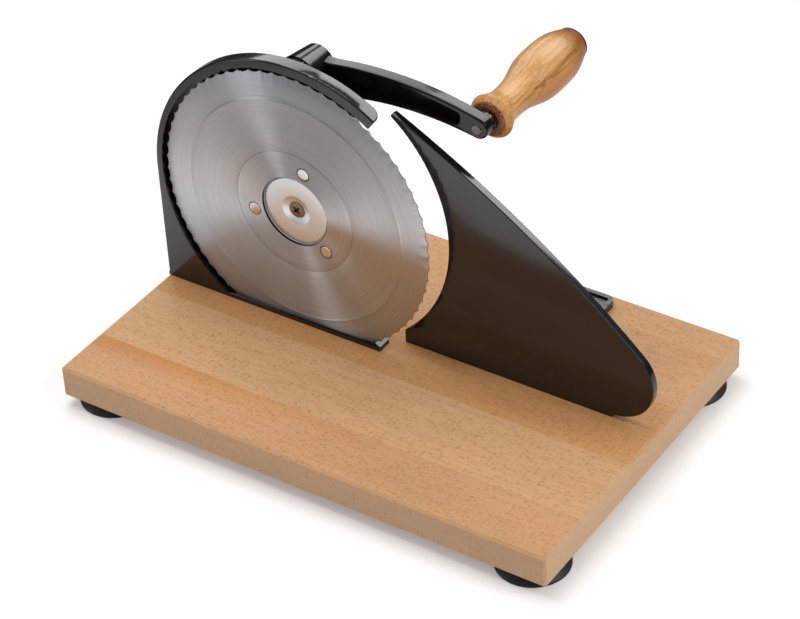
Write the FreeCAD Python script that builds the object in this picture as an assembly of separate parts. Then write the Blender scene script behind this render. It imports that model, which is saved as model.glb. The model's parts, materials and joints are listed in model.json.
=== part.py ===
import FreeCAD, Part
import math
import os

# Hand-cranked bread slicer: a beech board on four suction feet carries a cast housing with a
# wavy round blade, a three-gear train up to a crank behind its rim, and a sliding stop plate.
# Millimetres. X runs along the board, Y points away from the loaf, Z is up.
# Lengths in Y are measured from the middle of the board; the export moves the whole slicer so
# that its origin is the centre of the rectangle it covers on the table.

V = FreeCAD.Vector

# ---- board and feet
board_length = 340.0
board_depth = 228.0
board_thickness = 21.5
board_chamfer = 1.5
foot_radius = 22.4
foot_height = 7.0
foot_inset_x = 22.0          # foot's centre from the board's side
foot_inset_y = 22.7          # and from its front or back
foot_wall = 2.2
foot_neck_radius = 12.0
foot_stem_radius = 5.0
foot_stem_length = 8.0
foot_screw_radius = 2.0
foot_screw_head_radius = 4.2
foot_screw_length = 16.0

# ---- blade
blade_radius = 95.0
blade_thickness = 1.4
blade_front = -2.5           # Y of the blade's front face
blade_dip = 13.7             # how far the blade reaches below the board's top
blade_teeth = 68
tooth_depth = 1.3
bevel_width = 7.0
bevel_drop = 0.8
bead_inset = 19.0            # from the blade's edge
bead_half_width = 1.2
bead_height = 0.35
groove_radius = 41.5
groove_width = 0.3
groove_depth = 0.1
blade_hole_radius = 23.3

# ---- gear train
pinion_teeth = 16
idler_teeth = 30
wheel_teeth = 64
crank_rise = 87.0            # crank axis over the blade's
pressure_angle = math.radians(20.0)
tooth_thinning = 0.12        # taken off each tooth's width for backlash
gear_front_gap = 0.6         # blade's back to the idler and the pinion
gear_back = 3.4              # Y of the gears' back faces
gear_side_gap = 0.95         # tooth tips to the housing
running_gap = 0.05           # radial, shaft in bush
seat_gap = 0.02              # radial, pieces that are fixed together
end_play = 0.3               # along an axis

# ---- housing
body_front = -5.0            # Y of the front face
rim_back = 4.0
rim_cover = 9.1              # guard's outer arc over the blade's radius
rim_offset_x = 3.4           # its centre from the blade's axis
rim_offset_z = 0.2
rim_gap = 2.7                # recess's radius over the blade's
recess_offset_x = 1.5        # recess's centre from the blade's axis
recess_offset_z = 0.5
rim_end_angle = 53.3         # degrees, where the guard stops
rim_corner = 6.5
body_inset = 0.5             # housing's left edge from the board's
wall_front = 0.6             # Y of the rear wall's front face
wall_start_angle = 63.0      # degrees, where the rear wall leaves the rim
housing_wall = 2.8
housing_floor = 3.0
housing_edge_radius = 1.0
lip_height = 2.7
lip_thickness = 1.5
base_thickness = 4.0
base_back = 28.0             # Y of the foot flange's back edge
slot_side_gap = 0.9          # blade's faces to the slot
slot_end_gap = 3.4
base_bridge = 5.0
wheel_boss_radius = 25.0
wheel_boss_back = 11.3
gusset_places = (-49.2, 16.8)        # along X from the blade's axis
gusset_thickness = 4.0
gusset_height = 34.0
gusset_reach = 20.0
web_pocket_depth = 5.5
web_pocket_margin = 4.0

# ---- housing screws, from below the board
body_screw_places = (-83.2, -19.2, 34.8)   # along X from the blade's axis
body_screw_y = 17.0
body_screw_radius = 2.5
body_screw_head_radius = 4.7
body_screw_head_height = 3.0
body_screw_bite = 7.0
body_boss_radius = 6.5
body_boss_height = 9.0

# ---- blade bearing
post_radius = 12.0
wheel_bush_radius = 16.0
wheel_hub_radius = 21.0
wheel_hub_back = 8.0
wheel_web = 2.6
wheel_rim_width = 2.8        # below the teeth
cap_radius = 22.4
cap_recess = 1.6             # cap's face behind the blade's
cap_thickness = 1.4
dish_radius = 9.8
dish_depth = 1.0
hub_screw_head_radius = 5.6
hub_screw_radius = 3.0
hub_screw_length = 10.0
rivet_circle = 30.5
rivet_count = 3
rivet_first_angle = 74.0
rivet_head_radius = 4.1
rivet_shank_radius = 2.5
rivet_tail_radius = 4.4
rivet_tail_height = 1.4

# ---- idler bearing
idler_pin_radius = 4.0
idler_boss_radius = 8.0
idler_boss_back = 10.0
idler_dish_radius = 7.5
idler_dish_depth = 1.6
clip_radius = 6.2
clip_thickness = 0.7

# ---- crank
crank_radius = 114.0
crank_rest_angle = -3.5      # degrees above the horizontal
shaft_radius = 5.0
shaft_square = 7.0
pinion_seat_radius = 4.0
pinion_seat_flat = 3.0       # the flat's distance from the axis
bush_wall = 2.0
tube_wall = 2.2
crank_boss_radius = 11.4
crank_boss_back = 10.9
thrust_washer_radius = 12.2
thrust_washer_thickness = 0.8
tube_back = 27.0
hub_gap = 0.6                # crank's hub round the tube
hub_front_radius = 13.4
hub_back_radius = 10.8
hub_length = 21.0
arm_thickness = 7.8
arm_setback = 1.2            # arm's back before the hub's
arm_end_radius = 6.95
arm_end_lift = 0.65          # end's round over the grip's axis
arm_top_radius = 237.0
arm_top_start = (14.0, 7.1)  # where the arm leaves its hub
arm_low_radius = 214.0
arm_low_start = (30.0, -11.0)
arm_neck_radius = 30.0
arm_rib = 2.8
arm_pocket_depth = 5.5
arm_pocket = (18.0, 103.0)   # its two ends, from the crank's axis
arm_edge_radius = 1.2
screw_socket_depth = 2.2
pinion_screw_head_radius = 3.5
pinion_screw_radius = 2.0
pinion_screw_length = 9.0
crank_screw_radius = 2.5
crank_screw_head_radius = 4.3
crank_screw_head_height = 5.0
crank_screw_length = 14.0
crank_washer_radius = 8.0
crank_washer_thickness = 1.2

# ---- handle
axle_radius = 4.0
axle_seat_radius = 3.0       # in the arm
axle_rivet_radius = 3.4
axle_rivet_height = 0.5
axle_collar_radius = 6.9
axle_collar_length = 4.2
grip_length = 92.2
grip_play = 0.08             # radial, grip on its axle
grip_bore_radius = 8.0       # the recess for the nut
grip_bore_depth = 9.0
axle_washer_radius = 7.2
axle_washer_thickness = 1.2
axle_nut_flats = 11.0
axle_nut_height = 4.0
cap_plug_length = 4.5
cap_plug_wall = 1.0
plug_gap = 0.1               # radial
grip_cap_radius = 10.4
grip_cap_height = 2.0
# outline of the turned grip: distance from its front face, radius
grip_outline = ((0.0, 10.4), (4.0, 14.1), (4.7, 14.0), (5.2, 13.3), (9.0, 12.3), (13.0, 10.97),
                (17.5, 10.5), (25.0, 10.6), (33.0, 11.5), (40.0, 13.2), (47.0, 15.05),
                (54.0, 15.95), (62.0, 16.1), (70.0, 15.9), (77.0, 15.2), (83.0, 13.7),
                (88.0, 12.0))
grip_shoulder = (1.7, 12.4)  # on the rounding between its first two points
grip_end_radius = 10.4

# ---- stop plate
slice_setting = 13.5         # slice thickness at rest
slice_least = 0.5
slice_most = 18.0
stop_thickness = 5.0
stop_lift = 2.4              # plate's lower edge above the board
stop_edge_gap = 5.7          # concave edge's radius over the blade's
stop_edge_offset_x = -0.8    # concave edge's centre from the blade's axis
stop_edge_offset_z = 3.2
stop_tip_radius = 1.3
stop_tip_angle = 49.6        # degrees, tip seen from the concave edge's centre
stop_long_radius = 700.0     # long edge, from the tip to the lobe
stop_lobe_radius = 27.0
stop_side_inset = 2.5        # lobe from the board's right edge
stop_start = 65.8            # plate's left end from the blade's axis
stop_rail_end = 30.0         # rail's end from the board's right edge
stop_edge_round = 0.6
slide_inset = 15.0           # slide plate's left side from the stop plate's left end
slide_width = 76.0
slide_end = 107.0
slide_thickness = 3.5
slide_rim = 1.5
slide_rim_width = 3.0
slide_corner = 5.0
stop_gusset_thickness = 4.0
stop_gusset_heights = (22.0, 46.0)   # left, right
stop_gusset_reach = 22.0

# ---- clamp and guides of the stop plate
clamp_y = 50.0
stud_radius = 3.0
stud_bite = 12.0
insert_radius = 4.6
insert_length = 14.0
slot_gap = 0.5
clamp_play = 0.1             # slackened washer over the slide plate
clamp_washer_radius = 10.0
clamp_washer_thickness = 1.5
knob_hub_radius = 9.0
knob_hub_height = 5.0
knob_radius = 15.0
knob_height = 10.0
knob_lobes = 6
knob_lobe_radius = 5.0
knob_cover = 3.0             # knob over the stud's end
guide_spread = 26.0          # guide screws from the clamp's axis
guide_shoulder_radius = 4.0
guide_head_radius = 6.4
guide_head_height = 2.6
guide_thread_radius = 2.2
guide_thread_length = 12.0

# ---- places that follow
board_top = foot_height + board_thickness
rim_radius = blade_radius + rim_cover
bead_radius = blade_radius - bead_inset
recess_radius = blade_radius + rim_gap
body_left = -board_length / 2 + body_inset
blade_x = body_left + rim_radius - rim_offset_x
blade_z = board_top + blade_radius - blade_dip
rim_x = blade_x + rim_offset_x
rim_z = blade_z + rim_offset_z
recess_x = blade_x + recess_offset_x
recess_z = blade_z + recess_offset_z
blade_back = blade_front + blade_thickness
body_screw_positions = [blade_x + place for place in body_screw_places]
gear_front = blade_back + gear_front_gap

gear_module = 2 * crank_rise / (pinion_teeth + 2 * idler_teeth + wheel_teeth)
wheel_pitch = gear_module * wheel_teeth / 2
idler_pitch = gear_module * idler_teeth / 2
pinion_pitch = gear_module * pinion_teeth / 2
idler_z = blade_z + wheel_pitch + idler_pitch
crank_z = idler_z + idler_pitch + pinion_pitch

floor_front = gear_back + 2 * end_play + 0.2
floor_back = floor_front + housing_floor
wheel_chamber = wheel_pitch + gear_module + gear_side_gap
idler_chamber = idler_pitch + gear_module + gear_side_gap
pinion_chamber = pinion_pitch + gear_module + gear_side_gap
wall_edge = blade_x + wheel_chamber + housing_wall
slot_half = math.sqrt(blade_radius ** 2 - (blade_z - board_top) ** 2) + slot_end_gap
slot_left = blade_x - slot_half
slot_right = blade_x + slot_half
base_right = slot_right + base_bridge
slot_front = blade_front - slot_side_gap
slot_back = blade_back + slot_side_gap + wall_front

cap_front = blade_front + cap_recess
cap_back = cap_front + cap_thickness
wheel_pocket_back = wheel_hub_back + end_play

hub_front = crank_boss_back + thrust_washer_thickness + end_play
hub_back = hub_front + hub_length
arm_back = hub_back - arm_setback
arm_front = arm_back - arm_thickness
tube_radius = shaft_radius + bush_wall + tube_wall
hub_web_front = tube_back + hub_gap
grip_x = blade_x + crank_radius * math.cos(math.radians(crank_rest_angle))
grip_z = crank_z + crank_radius * math.sin(math.radians(crank_rest_angle))
collar_back = arm_back + axle_collar_length
grip_front = collar_back + end_play
grip_back = grip_front + grip_length
washer_front = grip_back - grip_bore_depth + end_play

stop_front = blade_front + slice_setting
stop_back = stop_front + stop_thickness
stop_bottom = board_top + stop_lift
stop_left = blade_x + stop_start
slide_left = stop_left + slide_inset
travel_in = slice_setting - slice_least
travel_out = slice_most - slice_setting
clamp_x = slide_left + slide_width / 2
slide_top = board_top + slide_thickness
slide_right = slide_left + slide_width
clamp_seat = slide_top + clamp_play + clamp_washer_thickness

middle_y = (grip_back + grip_cap_height - board_depth / 2) / 2


# ---- helpers
def box(x0, x1, y0, y1, z0, z1):
    return Part.makeBox(x1 - x0, y1 - y0, z1 - z0, V(x0, y0, z0))


def bar(x, z, radius, y0, y1):
    """Round bar along Y."""
    return Part.makeCylinder(radius, y1 - y0, V(x, y0, z), V(0, 1, 0))


def post(x, y, radius, z0, z1):
    """Round bar along Z."""
    return Part.makeCylinder(radius, z1 - z0, V(x, y, z0), V(0, 0, 1))


def cone(x, z, radius0, radius1, y0, y1):
    """Cone along Y, radius0 at y0."""
    return Part.makeCone(radius0, radius1, y1 - y0, V(x, y0, z), V(0, 1, 0))


def turned(x, z, outline):
    """Solid of revolution about the Y-parallel line through x, z. Outline: (y, radius) pairs."""
    wire = Part.makePolygon([V(x + r, y, z) for y, r in outline + outline[:1]])
    return Part.Face(wire).revolve(V(x, 0, z), V(0, 1, 0), 360)


def turned_upright(x, y, outline):
    """Solid of revolution about the vertical line through x, y. Outline: (z, radius) pairs."""
    wire = Part.makePolygon([V(x + r, y, z) for z, r in outline + outline[:1]])
    return Part.Face(wire).revolve(V(x, y, 0), V(0, 0, 1), 360)


def slab(edges, y0, y1):
    """Closed outline drawn in the plane y0, thickened to y1."""
    return Part.Face(Part.Wire(edges)).extrude(V(0, y1 - y0, 0))


def at(y, point):
    return V(point[0], y, point[1])


def line(y, a, b):
    return Part.LineSegment(at(y, a), at(y, b)).toShape()


def arc(y, a, b, c):
    return Part.Arc(at(y, a), at(y, b), at(y, c)).toShape()


def polygon_slab(points, y0, y1):
    wire = Part.makePolygon([at(y0, p) for p in points + points[:1]])
    return Part.Face(wire).extrude(V(0, y1 - y0, 0))


def polar(centre, radius, degrees):
    turn = math.radians(degrees)
    return (centre[0] + radius * math.cos(turn), centre[1] + radius * math.sin(turn))


def long_hole(x, y0, y1, radius, z0, z1):
    """Slot along Y between the centres y0 and y1."""
    ends = post(x, y0, radius, z0, z1).fuse(post(x, y1, radius, z0, z1))
    return ends.fuse(box(x - radius, x + radius, y0, y1, z0, z1))


def hexagon(x, z, flats, y0, y1):
    corners = [polar((x, z), flats / math.sqrt(3), 60 * k) for k in range(6)]
    return polygon_slab(corners, y0, y1)


def rounded(shape, radius, choose):
    """Fillet the edges that choose() picks."""
    edges = [edge for edge in shape.Edges if choose(edge)]
    return shape.makeFillet(radius, edges)


def stands_at(vertex, point):
    return math.hypot(vertex.X - point[0], vertex.Z - point[1]) < 1e-4


def touches(edge, point):
    """Whether one end of the edge has the point's x and z."""
    return any(stands_at(vertex, point) for vertex in edge.Vertexes)


def lies_over(edge, point):
    """Whether the edge runs along Y through the point."""
    return all(stands_at(vertex, point) for vertex in edge.Vertexes)


def lies_at_y(edge, y):
    return all(abs(vertex.Y - y) < 1e-6 for vertex in edge.Vertexes)


def gear(x, z, teeth, y0, y1):
    """Involute spur gear with a tooth centred on its +X axis."""
    pitch = gear_module * teeth / 2
    base = pitch * math.cos(pressure_angle)
    tip = pitch + gear_module
    root = pitch - 1.25 * gear_module
    half = (math.pi * gear_module / 2 - tooth_thinning) / (2 * pitch)

    def involute(angle):
        return math.tan(angle) - angle

    def flank(radius):
        lift = involute(math.acos(min(1.0, base / radius)))
        return math.degrees(half + involute(pressure_angle) - lift)

    start = max(root, base)
    middle = (start + tip) / 2
    step = 360.0 / teeth
    edges = []
    for k in range(teeth):
        turn = k * step
        low = [polar((x, z), start, turn + side * flank(start)) for side in (-1, 1)]
        mid = [polar((x, z), middle, turn + side * flank(middle)) for side in (-1, 1)]
        high = [polar((x, z), tip, turn + side * flank(tip)) for side in (-1, 1)]
        foot = [polar((x, z), root, turn + side * flank(start)) for side in (-1, 1)]
        if start > root:
            edges.append(line(y0, foot[0], low[0]))
        edges.append(arc(y0, low[0], mid[0], high[0]))
        edges.append(arc(y0, high[0], polar((x, z), tip, turn), high[1]))
        edges.append(arc(y0, high[1], mid[1], low[1]))
        if start > root:
            edges.append(line(y0, low[1], foot[1]))
        following = polar((x, z), root, turn + step - flank(start))
        edges.append(arc(y0, foot[1], polar((x, z), root, turn + step / 2), following))
    return slab(edges, y0, y1)


# ---- board and feet
def foot_places():
    reach_x = board_length / 2 - foot_inset_x
    reach_y = board_depth / 2 - foot_inset_y
    return [(sx * reach_x, sy * reach_y) for sx in (-1, 1) for sy in (-1, 1)]


def make_board():
    board = box(-board_length / 2, board_length / 2, -board_depth / 2, board_depth / 2,
                foot_height, board_top)
    board = board.makeChamfer(board_chamfer, board.Edges)
    end_radius = (slot_back - slot_front) / 2
    slot = box(slot_left + end_radius, slot_right - end_radius, slot_front, slot_back,
               foot_height - 1, board_top + 1)
    for x in (slot_left + end_radius, slot_right - end_radius):
        slot = slot.fuse(post(x, slot_front + end_radius, end_radius, foot_height - 1, board_top + 1))
    board = board.cut(slot)
    for x, y in foot_places():
        stem_top = foot_height + foot_stem_length + end_play
        board = board.cut(post(x, y, foot_stem_radius + seat_gap, foot_height - 1, stem_top))
        board = board.cut(post(x, y, foot_screw_radius + seat_gap, foot_height - 1,
                               foot_height + foot_screw_length - foot_wall))
    for x in body_screw_positions:
        board = board.cut(post(x, body_screw_y, body_screw_radius + slot_gap,
                               foot_height - 1, board_top + 1))
        board = board.cut(post(x, body_screw_y, body_screw_head_radius + slot_gap,
                               foot_height - 1, foot_height + 2 * body_screw_head_height))
    board = board.cut(post(clamp_x, clamp_y, insert_radius + seat_gap,
                           board_top - insert_length, board_top + 1))
    for side in (-1, 1):
        board = board.cut(post(clamp_x + side * guide_spread, clamp_y,
                               guide_thread_radius + seat_gap,
                               board_top - guide_thread_length - end_play, board_top + 1))
    return board


def make_foot(x, y):
    dome = foot_height - foot_wall
    outline = [(0.0, foot_radius), (1.3, foot_radius), (foot_height - 1.6, foot_neck_radius + 4.5),
               (foot_height, foot_neck_radius), (foot_height, foot_stem_radius),
               (foot_height + foot_stem_length, foot_stem_radius),
               (foot_height + foot_stem_length, foot_screw_radius + seat_gap),
               (dome, foot_screw_radius + seat_gap), (dome, foot_neck_radius - 2.0),
               (0.0, foot_radius - foot_wall)]
    return turned_upright(x, y, outline)


def make_foot_screw(x, y):
    dome = foot_height - foot_wall
    top = foot_height + foot_screw_length - foot_wall - end_play
    outline = [(dome - 2.4, 0.0), (dome - 2.4, foot_screw_head_radius - 1.2),
               (dome - 1.4, foot_screw_head_radius), (dome, foot_screw_head_radius),
               (dome, foot_screw_radius), (top - 3.0, foot_screw_radius), (top, 0.0)]
    screw = turned_upright(x, y, outline)
    for turn in (0, 90):
        slit = box(x - 2.2, x + 2.2, y - 0.4, y + 0.4, dome - 3.0, dome - 1.2)
        slit.rotate(V(x, y, 0), V(0, 0, 1), turn)
        screw = screw.cut(slit)
    return screw


# ---- housing
def ray_to_rim(degrees):
    """Where the ray from the blade's axis meets the outer arc."""
    turn = math.radians(degrees)
    along = rim_offset_x * math.cos(turn) + rim_offset_z * math.sin(turn)
    offset = rim_offset_x ** 2 + rim_offset_z ** 2
    reach = along + math.sqrt(along ** 2 - offset + rim_radius ** 2)
    return polar((blade_x, blade_z), reach, degrees)


def make_guard():
    """Rim and left web, full depth, with the end of the rim rounded off at its back corner."""
    end = ray_to_rim(rim_end_angle)
    top = (rim_x, rim_z + rim_radius)
    left = (body_left, rim_z)
    corner = polar((rim_x, rim_z), rim_radius, 135)
    edges = [line(body_front, (body_left, board_top), left), arc(body_front, left, corner, top),
             arc(body_front, top, polar((rim_x, rim_z), rim_radius, 70), end),
             line(body_front, end, (blade_x, blade_z)),
             line(body_front, (blade_x, blade_z), (blade_x, board_top)),
             line(body_front, (blade_x, board_top), (body_left, board_top))]
    guard = slab(edges, body_front, rim_back)

    def back_corner(edge):
        return lies_at_y(edge, rim_back) and touches(edge, end) and touches(edge, (blade_x, blade_z))

    def outer_edge(edge):
        middle = edge.valueAt((edge.FirstParameter + edge.LastParameter) / 2)
        reach = math.hypot(middle.x - rim_x, middle.z - rim_z)
        ends = edge.Vertexes[0].Point - edge.Vertexes[-1].Point
        along_y = math.hypot(ends.x, ends.z) < 1e-6
        return abs(reach - rim_radius) < 0.05 and not along_y

    guard = rounded(guard, rim_corner, back_corner)
    guard = rounded(guard, housing_edge_radius, outer_edge)
    return guard.cut(bar(recess_x, recess_z, recess_radius, body_front - 1, rim_back + 1))


def make_rear_wall():
    """Wall behind the blade, left of a line from the rim down past the gear housing."""
    reach = recess_radius + 2 * rim_radius
    start = polar((recess_x, recess_z), recess_radius + 0.5, wall_start_angle)
    region = [start, (wall_edge, blade_z), (wall_edge, board_top), (body_left, board_top),
              (body_left, blade_z + reach), (start[0], blade_z + reach)]
    disc = bar(recess_x, recess_z, recess_radius + 0.5, wall_front, rim_back)
    return disc.common(polygon_slab(region, wall_front, rim_back))


def make_body():
    body = make_guard().fuse(make_rear_wall())
    crank_wall = crank_boss_radius + 2.0
    housing = bar(blade_x, blade_z, wheel_chamber + housing_wall, wall_front, floor_back)
    housing = housing.fuse(bar(blade_x, idler_z, idler_chamber + housing_wall,
                               wall_front, floor_back))
    housing = housing.fuse(bar(blade_x, crank_z, crank_wall, wall_front, floor_back))
    body = body.fuse(housing)

    base = box(body_left, base_right, body_front, wall_front, board_top, board_top + lip_height)
    base = base.fuse(box(body_left, wall_edge, wall_front, base_back,
                         board_top, board_top + base_thickness))
    base = base.fuse(box(wall_edge, base_right, wall_front, slot_back + base_bridge,
                         board_top, board_top + lip_height))
    upright = [edge for edge in base.Edges
               if abs(edge.Vertexes[0].X - edge.Vertexes[-1].X) < 1e-6
               and abs(edge.Vertexes[0].Y - edge.Vertexes[-1].Y) < 1e-6
               and edge.CenterOfMass.y > wall_front + 1]
    base = base.makeFillet(3.0, [edge for edge in upright if edge.CenterOfMass.y > base_back - 1])
    base = base.cut(box(slot_left, slot_right, body_front + lip_thickness, slot_back,
                        board_top - 1, board_top + base_thickness + 1))
    body = body.fuse(base)

    for place in gusset_places:
        x = blade_x + place
        side = [V(x - gusset_thickness / 2, rim_back - 1, board_top + base_thickness - 1),
                V(x - gusset_thickness / 2, rim_back - 1, board_top + gusset_height),
                V(x - gusset_thickness / 2, rim_back + 2.0, board_top + gusset_height),
                V(x - gusset_thickness / 2, rim_back + gusset_reach, board_top + base_thickness + 1),
                V(x - gusset_thickness / 2, rim_back + gusset_reach, board_top + base_thickness - 1)]
        rib = Part.Face(Part.makePolygon(side + side[:1])).extrude(V(gusset_thickness, 0, 0))
        body = body.fuse(rib)
    for x in body_screw_positions:
        body = body.fuse(post(x, body_screw_y, body_boss_radius,
                              board_top, board_top + body_boss_height))
        body = body.cut(post(x, body_screw_y, body_screw_radius + seat_gap,
                             board_top - 1, board_top + body_screw_bite + end_play))

    body = body.fuse(bar(blade_x, blade_z, wheel_boss_radius, floor_front, wheel_boss_back))
    body = body.fuse(bar(blade_x, idler_z, idler_boss_radius, floor_front, idler_boss_back))
    body = body.fuse(bar(blade_x, crank_z, crank_boss_radius, floor_front, crank_boss_back))
    body = body.fuse(bar(blade_x, crank_z, tube_radius, floor_front, tube_back))

    chamber_front = body_front + 3.0
    body = body.cut(bar(blade_x, blade_z, wheel_chamber, chamber_front, floor_front))
    body = body.cut(bar(blade_x, idler_z, idler_chamber, chamber_front, floor_front))
    body = body.cut(bar(blade_x, crank_z, pinion_chamber, chamber_front, floor_front))
    body = body.cut(bar(blade_x, blade_z, wheel_hub_radius + 0.8, chamber_front, wheel_pocket_back))
    body = body.fuse(bar(blade_x, blade_z, post_radius, cap_back, wheel_boss_back - 0.5))
    seat_back = cap_back + dish_depth + 1.4
    hole_back = cap_front + hub_screw_length + 2.0
    seat = [(cap_back - 1, 0.0), (cap_back - 1, dish_radius + 0.7), (cap_back, dish_radius + 0.7),
            (cap_back + dish_depth + 0.1, hub_screw_head_radius + 1.4),
            (seat_back, hub_screw_radius + 0.8), (seat_back, hub_screw_radius + seat_gap),
            (hole_back, hub_screw_radius + seat_gap), (hole_back, 0.0)]
    body = body.cut(turned(blade_x, blade_z, seat))
    body = body.cut(bar(blade_x, idler_z, idler_pin_radius, floor_front - 1, idler_boss_back - 1))
    body = body.cut(bar(blade_x, crank_z, shaft_radius + bush_wall, floor_front - 1, tube_back + 1))
    body = body.cut(make_web_pocket())
    return body.removeSplitter()


def make_web_pocket():
    """Hollow in the back of the left web, between its edges and the rear wall."""
    m = web_pocket_margin
    reach = recess_radius + 3.0
    low = board_top + body_boss_height + m
    left = body_left + m
    pocket = box(left, blade_x, rim_back - web_pocket_depth, rim_back + 1, low, blade_z - m)
    return pocket.cut(bar(recess_x, recess_z, reach, body_front, rim_back + 2))


def make_body_screws():
    screws = []
    for x in body_screw_positions:
        seat = foot_height + 2 * body_screw_head_height
        end = board_top + body_screw_bite
        outline = [(seat - body_screw_head_height, 0.0),
                   (seat - body_screw_head_height, body_screw_head_radius),
                   (seat, body_screw_head_radius), (seat, body_screw_radius),
                   (end - 1.0, body_screw_radius), (end, body_screw_radius - 1.0), (end, 0.0)]
        screw = turned_upright(x, body_screw_y, outline)
        socket = hexagon(0, 0, 4.0, 0, screw_socket_depth)
        socket.rotate(V(0, 0, 0), V(1, 0, 0), 90)
        socket.translate(V(x, body_screw_y, seat - body_screw_head_height))
        screws.append(screw.cut(socket))
    return Part.makeCompound(screws)


# ---- blade, its wheel and bearing
def rivet_places():
    return [polar((blade_x, blade_z), rivet_circle, rivet_first_angle + 360.0 * k / rivet_count)
            for k in range(rivet_count)]


def make_blade():
    face = blade_front
    edge = blade_radius - bevel_width
    outline = [(blade_back, blade_hole_radius), (face, blade_hole_radius),
               (face, groove_radius - groove_width), (face + groove_depth, groove_radius),
               (face, groove_radius + groove_width), (face, bead_radius - bead_half_width),
               (face - bead_height, bead_radius), (face, bead_radius + bead_half_width),
               (face, edge), (face + bevel_drop, blade_radius), (blade_back, blade_radius)]
    disc = turned(blade_x, blade_z, outline)
    step = 360.0 / blade_teeth
    rim = []
    for k in range(blade_teeth):
        peak = polar((blade_x, blade_z), blade_radius, k * step)
        valley = polar((blade_x, blade_z), blade_radius - tooth_depth, (k + 0.5) * step)
        following = polar((blade_x, blade_z), blade_radius, (k + 1) * step)
        rim.append(arc(face - 2, peak, valley, following))
    blade = disc.common(slab(rim, face - 2, blade_back + 2))
    for x, z in rivet_places():
        blade = blade.cut(cone(x, z, rivet_head_radius + seat_gap, rivet_shank_radius + seat_gap,
                               face, blade_back))
    return blade


def make_wheel():
    wheel = gear(blade_x, blade_z, wheel_teeth, blade_back, gear_back)
    hollow = wheel_pitch - 1.25 * gear_module - wheel_rim_width
    ring = bar(blade_x, blade_z, hollow, blade_back + wheel_web, gear_back + 1)
    wheel = wheel.cut(ring)
    wheel = wheel.fuse(bar(blade_x, blade_z, wheel_hub_radius, blade_back, wheel_hub_back))
    wheel = wheel.cut(bar(blade_x, blade_z, blade_hole_radius, blade_back - 1,
                          cap_back + end_play))
    wheel = wheel.cut(bar(blade_x, blade_z, wheel_bush_radius + running_gap,
                          blade_back - 1, wheel_hub_back + 1))
    for x, z in rivet_places():
        wheel = wheel.cut(bar(x, z, rivet_shank_radius + seat_gap, blade_back - 1, gear_back + 1))
    return wheel


def make_rivet(x, z):
    tail = blade_back + wheel_web
    outline = [(blade_front + 0.1, 0.0), (blade_front + 0.1, rivet_head_radius - 0.15),
               (blade_back, rivet_shank_radius), (tail, rivet_shank_radius),
               (tail, rivet_tail_radius), (tail + 0.6, rivet_tail_radius),
               (tail + rivet_tail_height, rivet_tail_radius * 0.6),
               (tail + rivet_tail_height, 0.0)]
    return turned(x, z, outline)


def make_wheel_bush():
    outer = bar(blade_x, blade_z, wheel_bush_radius, cap_back, wheel_pocket_back)
    return outer.cut(bar(blade_x, blade_z, post_radius, cap_back - 1, wheel_pocket_back + 1))


def make_hub_cap():
    seat_back = cap_back + dish_depth + 1.3
    outline = [(cap_front + 0.4, cap_radius), (cap_front, cap_radius - 0.4),
               (cap_front, dish_radius), (cap_front + dish_depth, hub_screw_head_radius + 0.6),
               (cap_front + dish_depth, hub_screw_head_radius + 0.1),
               (seat_back, hub_screw_radius + 0.2), (seat_back, hub_screw_radius + 0.6),
               (cap_back + dish_depth, hub_screw_head_radius + 1.2),
               (cap_back, dish_radius + 0.5), (cap_back, cap_radius)]
    return turned(blade_x, blade_z, outline)


def cross_recess(x, z, y, size, depth):
    """Cross-shaped driver recess, cut from y in the +Y direction."""
    arms = []
    for turn in (45, 135):
        arm = box(x - size, x + size, y - 1, y + depth, z - size * 0.22, z + size * 0.22)
        arm.rotate(V(x, 0, z), V(0, 1, 0), turn)
        arms.append(arm)
    return arms[0].fuse(arms[1])


def make_hub_screw():
    front = cap_front + dish_depth - 0.3
    seat = cap_front + dish_depth
    neck = cap_back + dish_depth + 1.3
    end = cap_front + hub_screw_length + 1.0
    outline = [(front - 0.35, 0.0), (front - 0.2, 3.0), (front, hub_screw_head_radius - 0.3),
               (seat, hub_screw_head_radius), (neck, hub_screw_radius),
               (end - 1, hub_screw_radius), (end, hub_screw_radius - 1), (end, 0.0)]
    screw = turned(blade_x, blade_z, outline)
    return screw.cut(cross_recess(blade_x, blade_z, front, 2.7, 2.0))


# ---- idler
def make_idler():
    idler = gear(blade_x, idler_z, idler_teeth, gear_front, gear_back)
    idler = idler.fuse(bar(blade_x, idler_z, idler_dish_radius, gear_front,
                           floor_front - end_play))
    idler = idler.cut(bar(blade_x, idler_z, idler_dish_radius, gear_front - 1,
                          gear_front + idler_dish_depth))
    return idler.cut(bar(blade_x, idler_z, idler_pin_radius + running_gap, gear_front - 1,
                         floor_front + 1))


def make_idler_pin():
    groove_front = gear_front + idler_dish_depth - end_play - clip_thickness
    groove = bar(blade_x, idler_z, idler_pin_radius + 1, groove_front,
                 groove_front + clip_thickness)
    groove = groove.cut(bar(blade_x, idler_z, idler_pin_radius - 0.7, groove_front,
                            groove_front + clip_thickness))
    pin = bar(blade_x, idler_z, idler_pin_radius, gear_front + 0.1, idler_boss_back - 1)
    return pin.cut(groove)


def make_idler_clip():
    front = gear_front + idler_dish_depth - end_play - clip_thickness
    clip = bar(blade_x, idler_z, clip_radius, front, front + clip_thickness)
    clip = clip.cut(bar(blade_x, idler_z, idler_pin_radius - 0.7, front, front + clip_thickness))
    mouth = box(blade_x - 2.2, blade_x + 2.2, front, front + clip_thickness,
                idler_z - clip_radius - 1, idler_z)
    return clip.cut(mouth)


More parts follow.
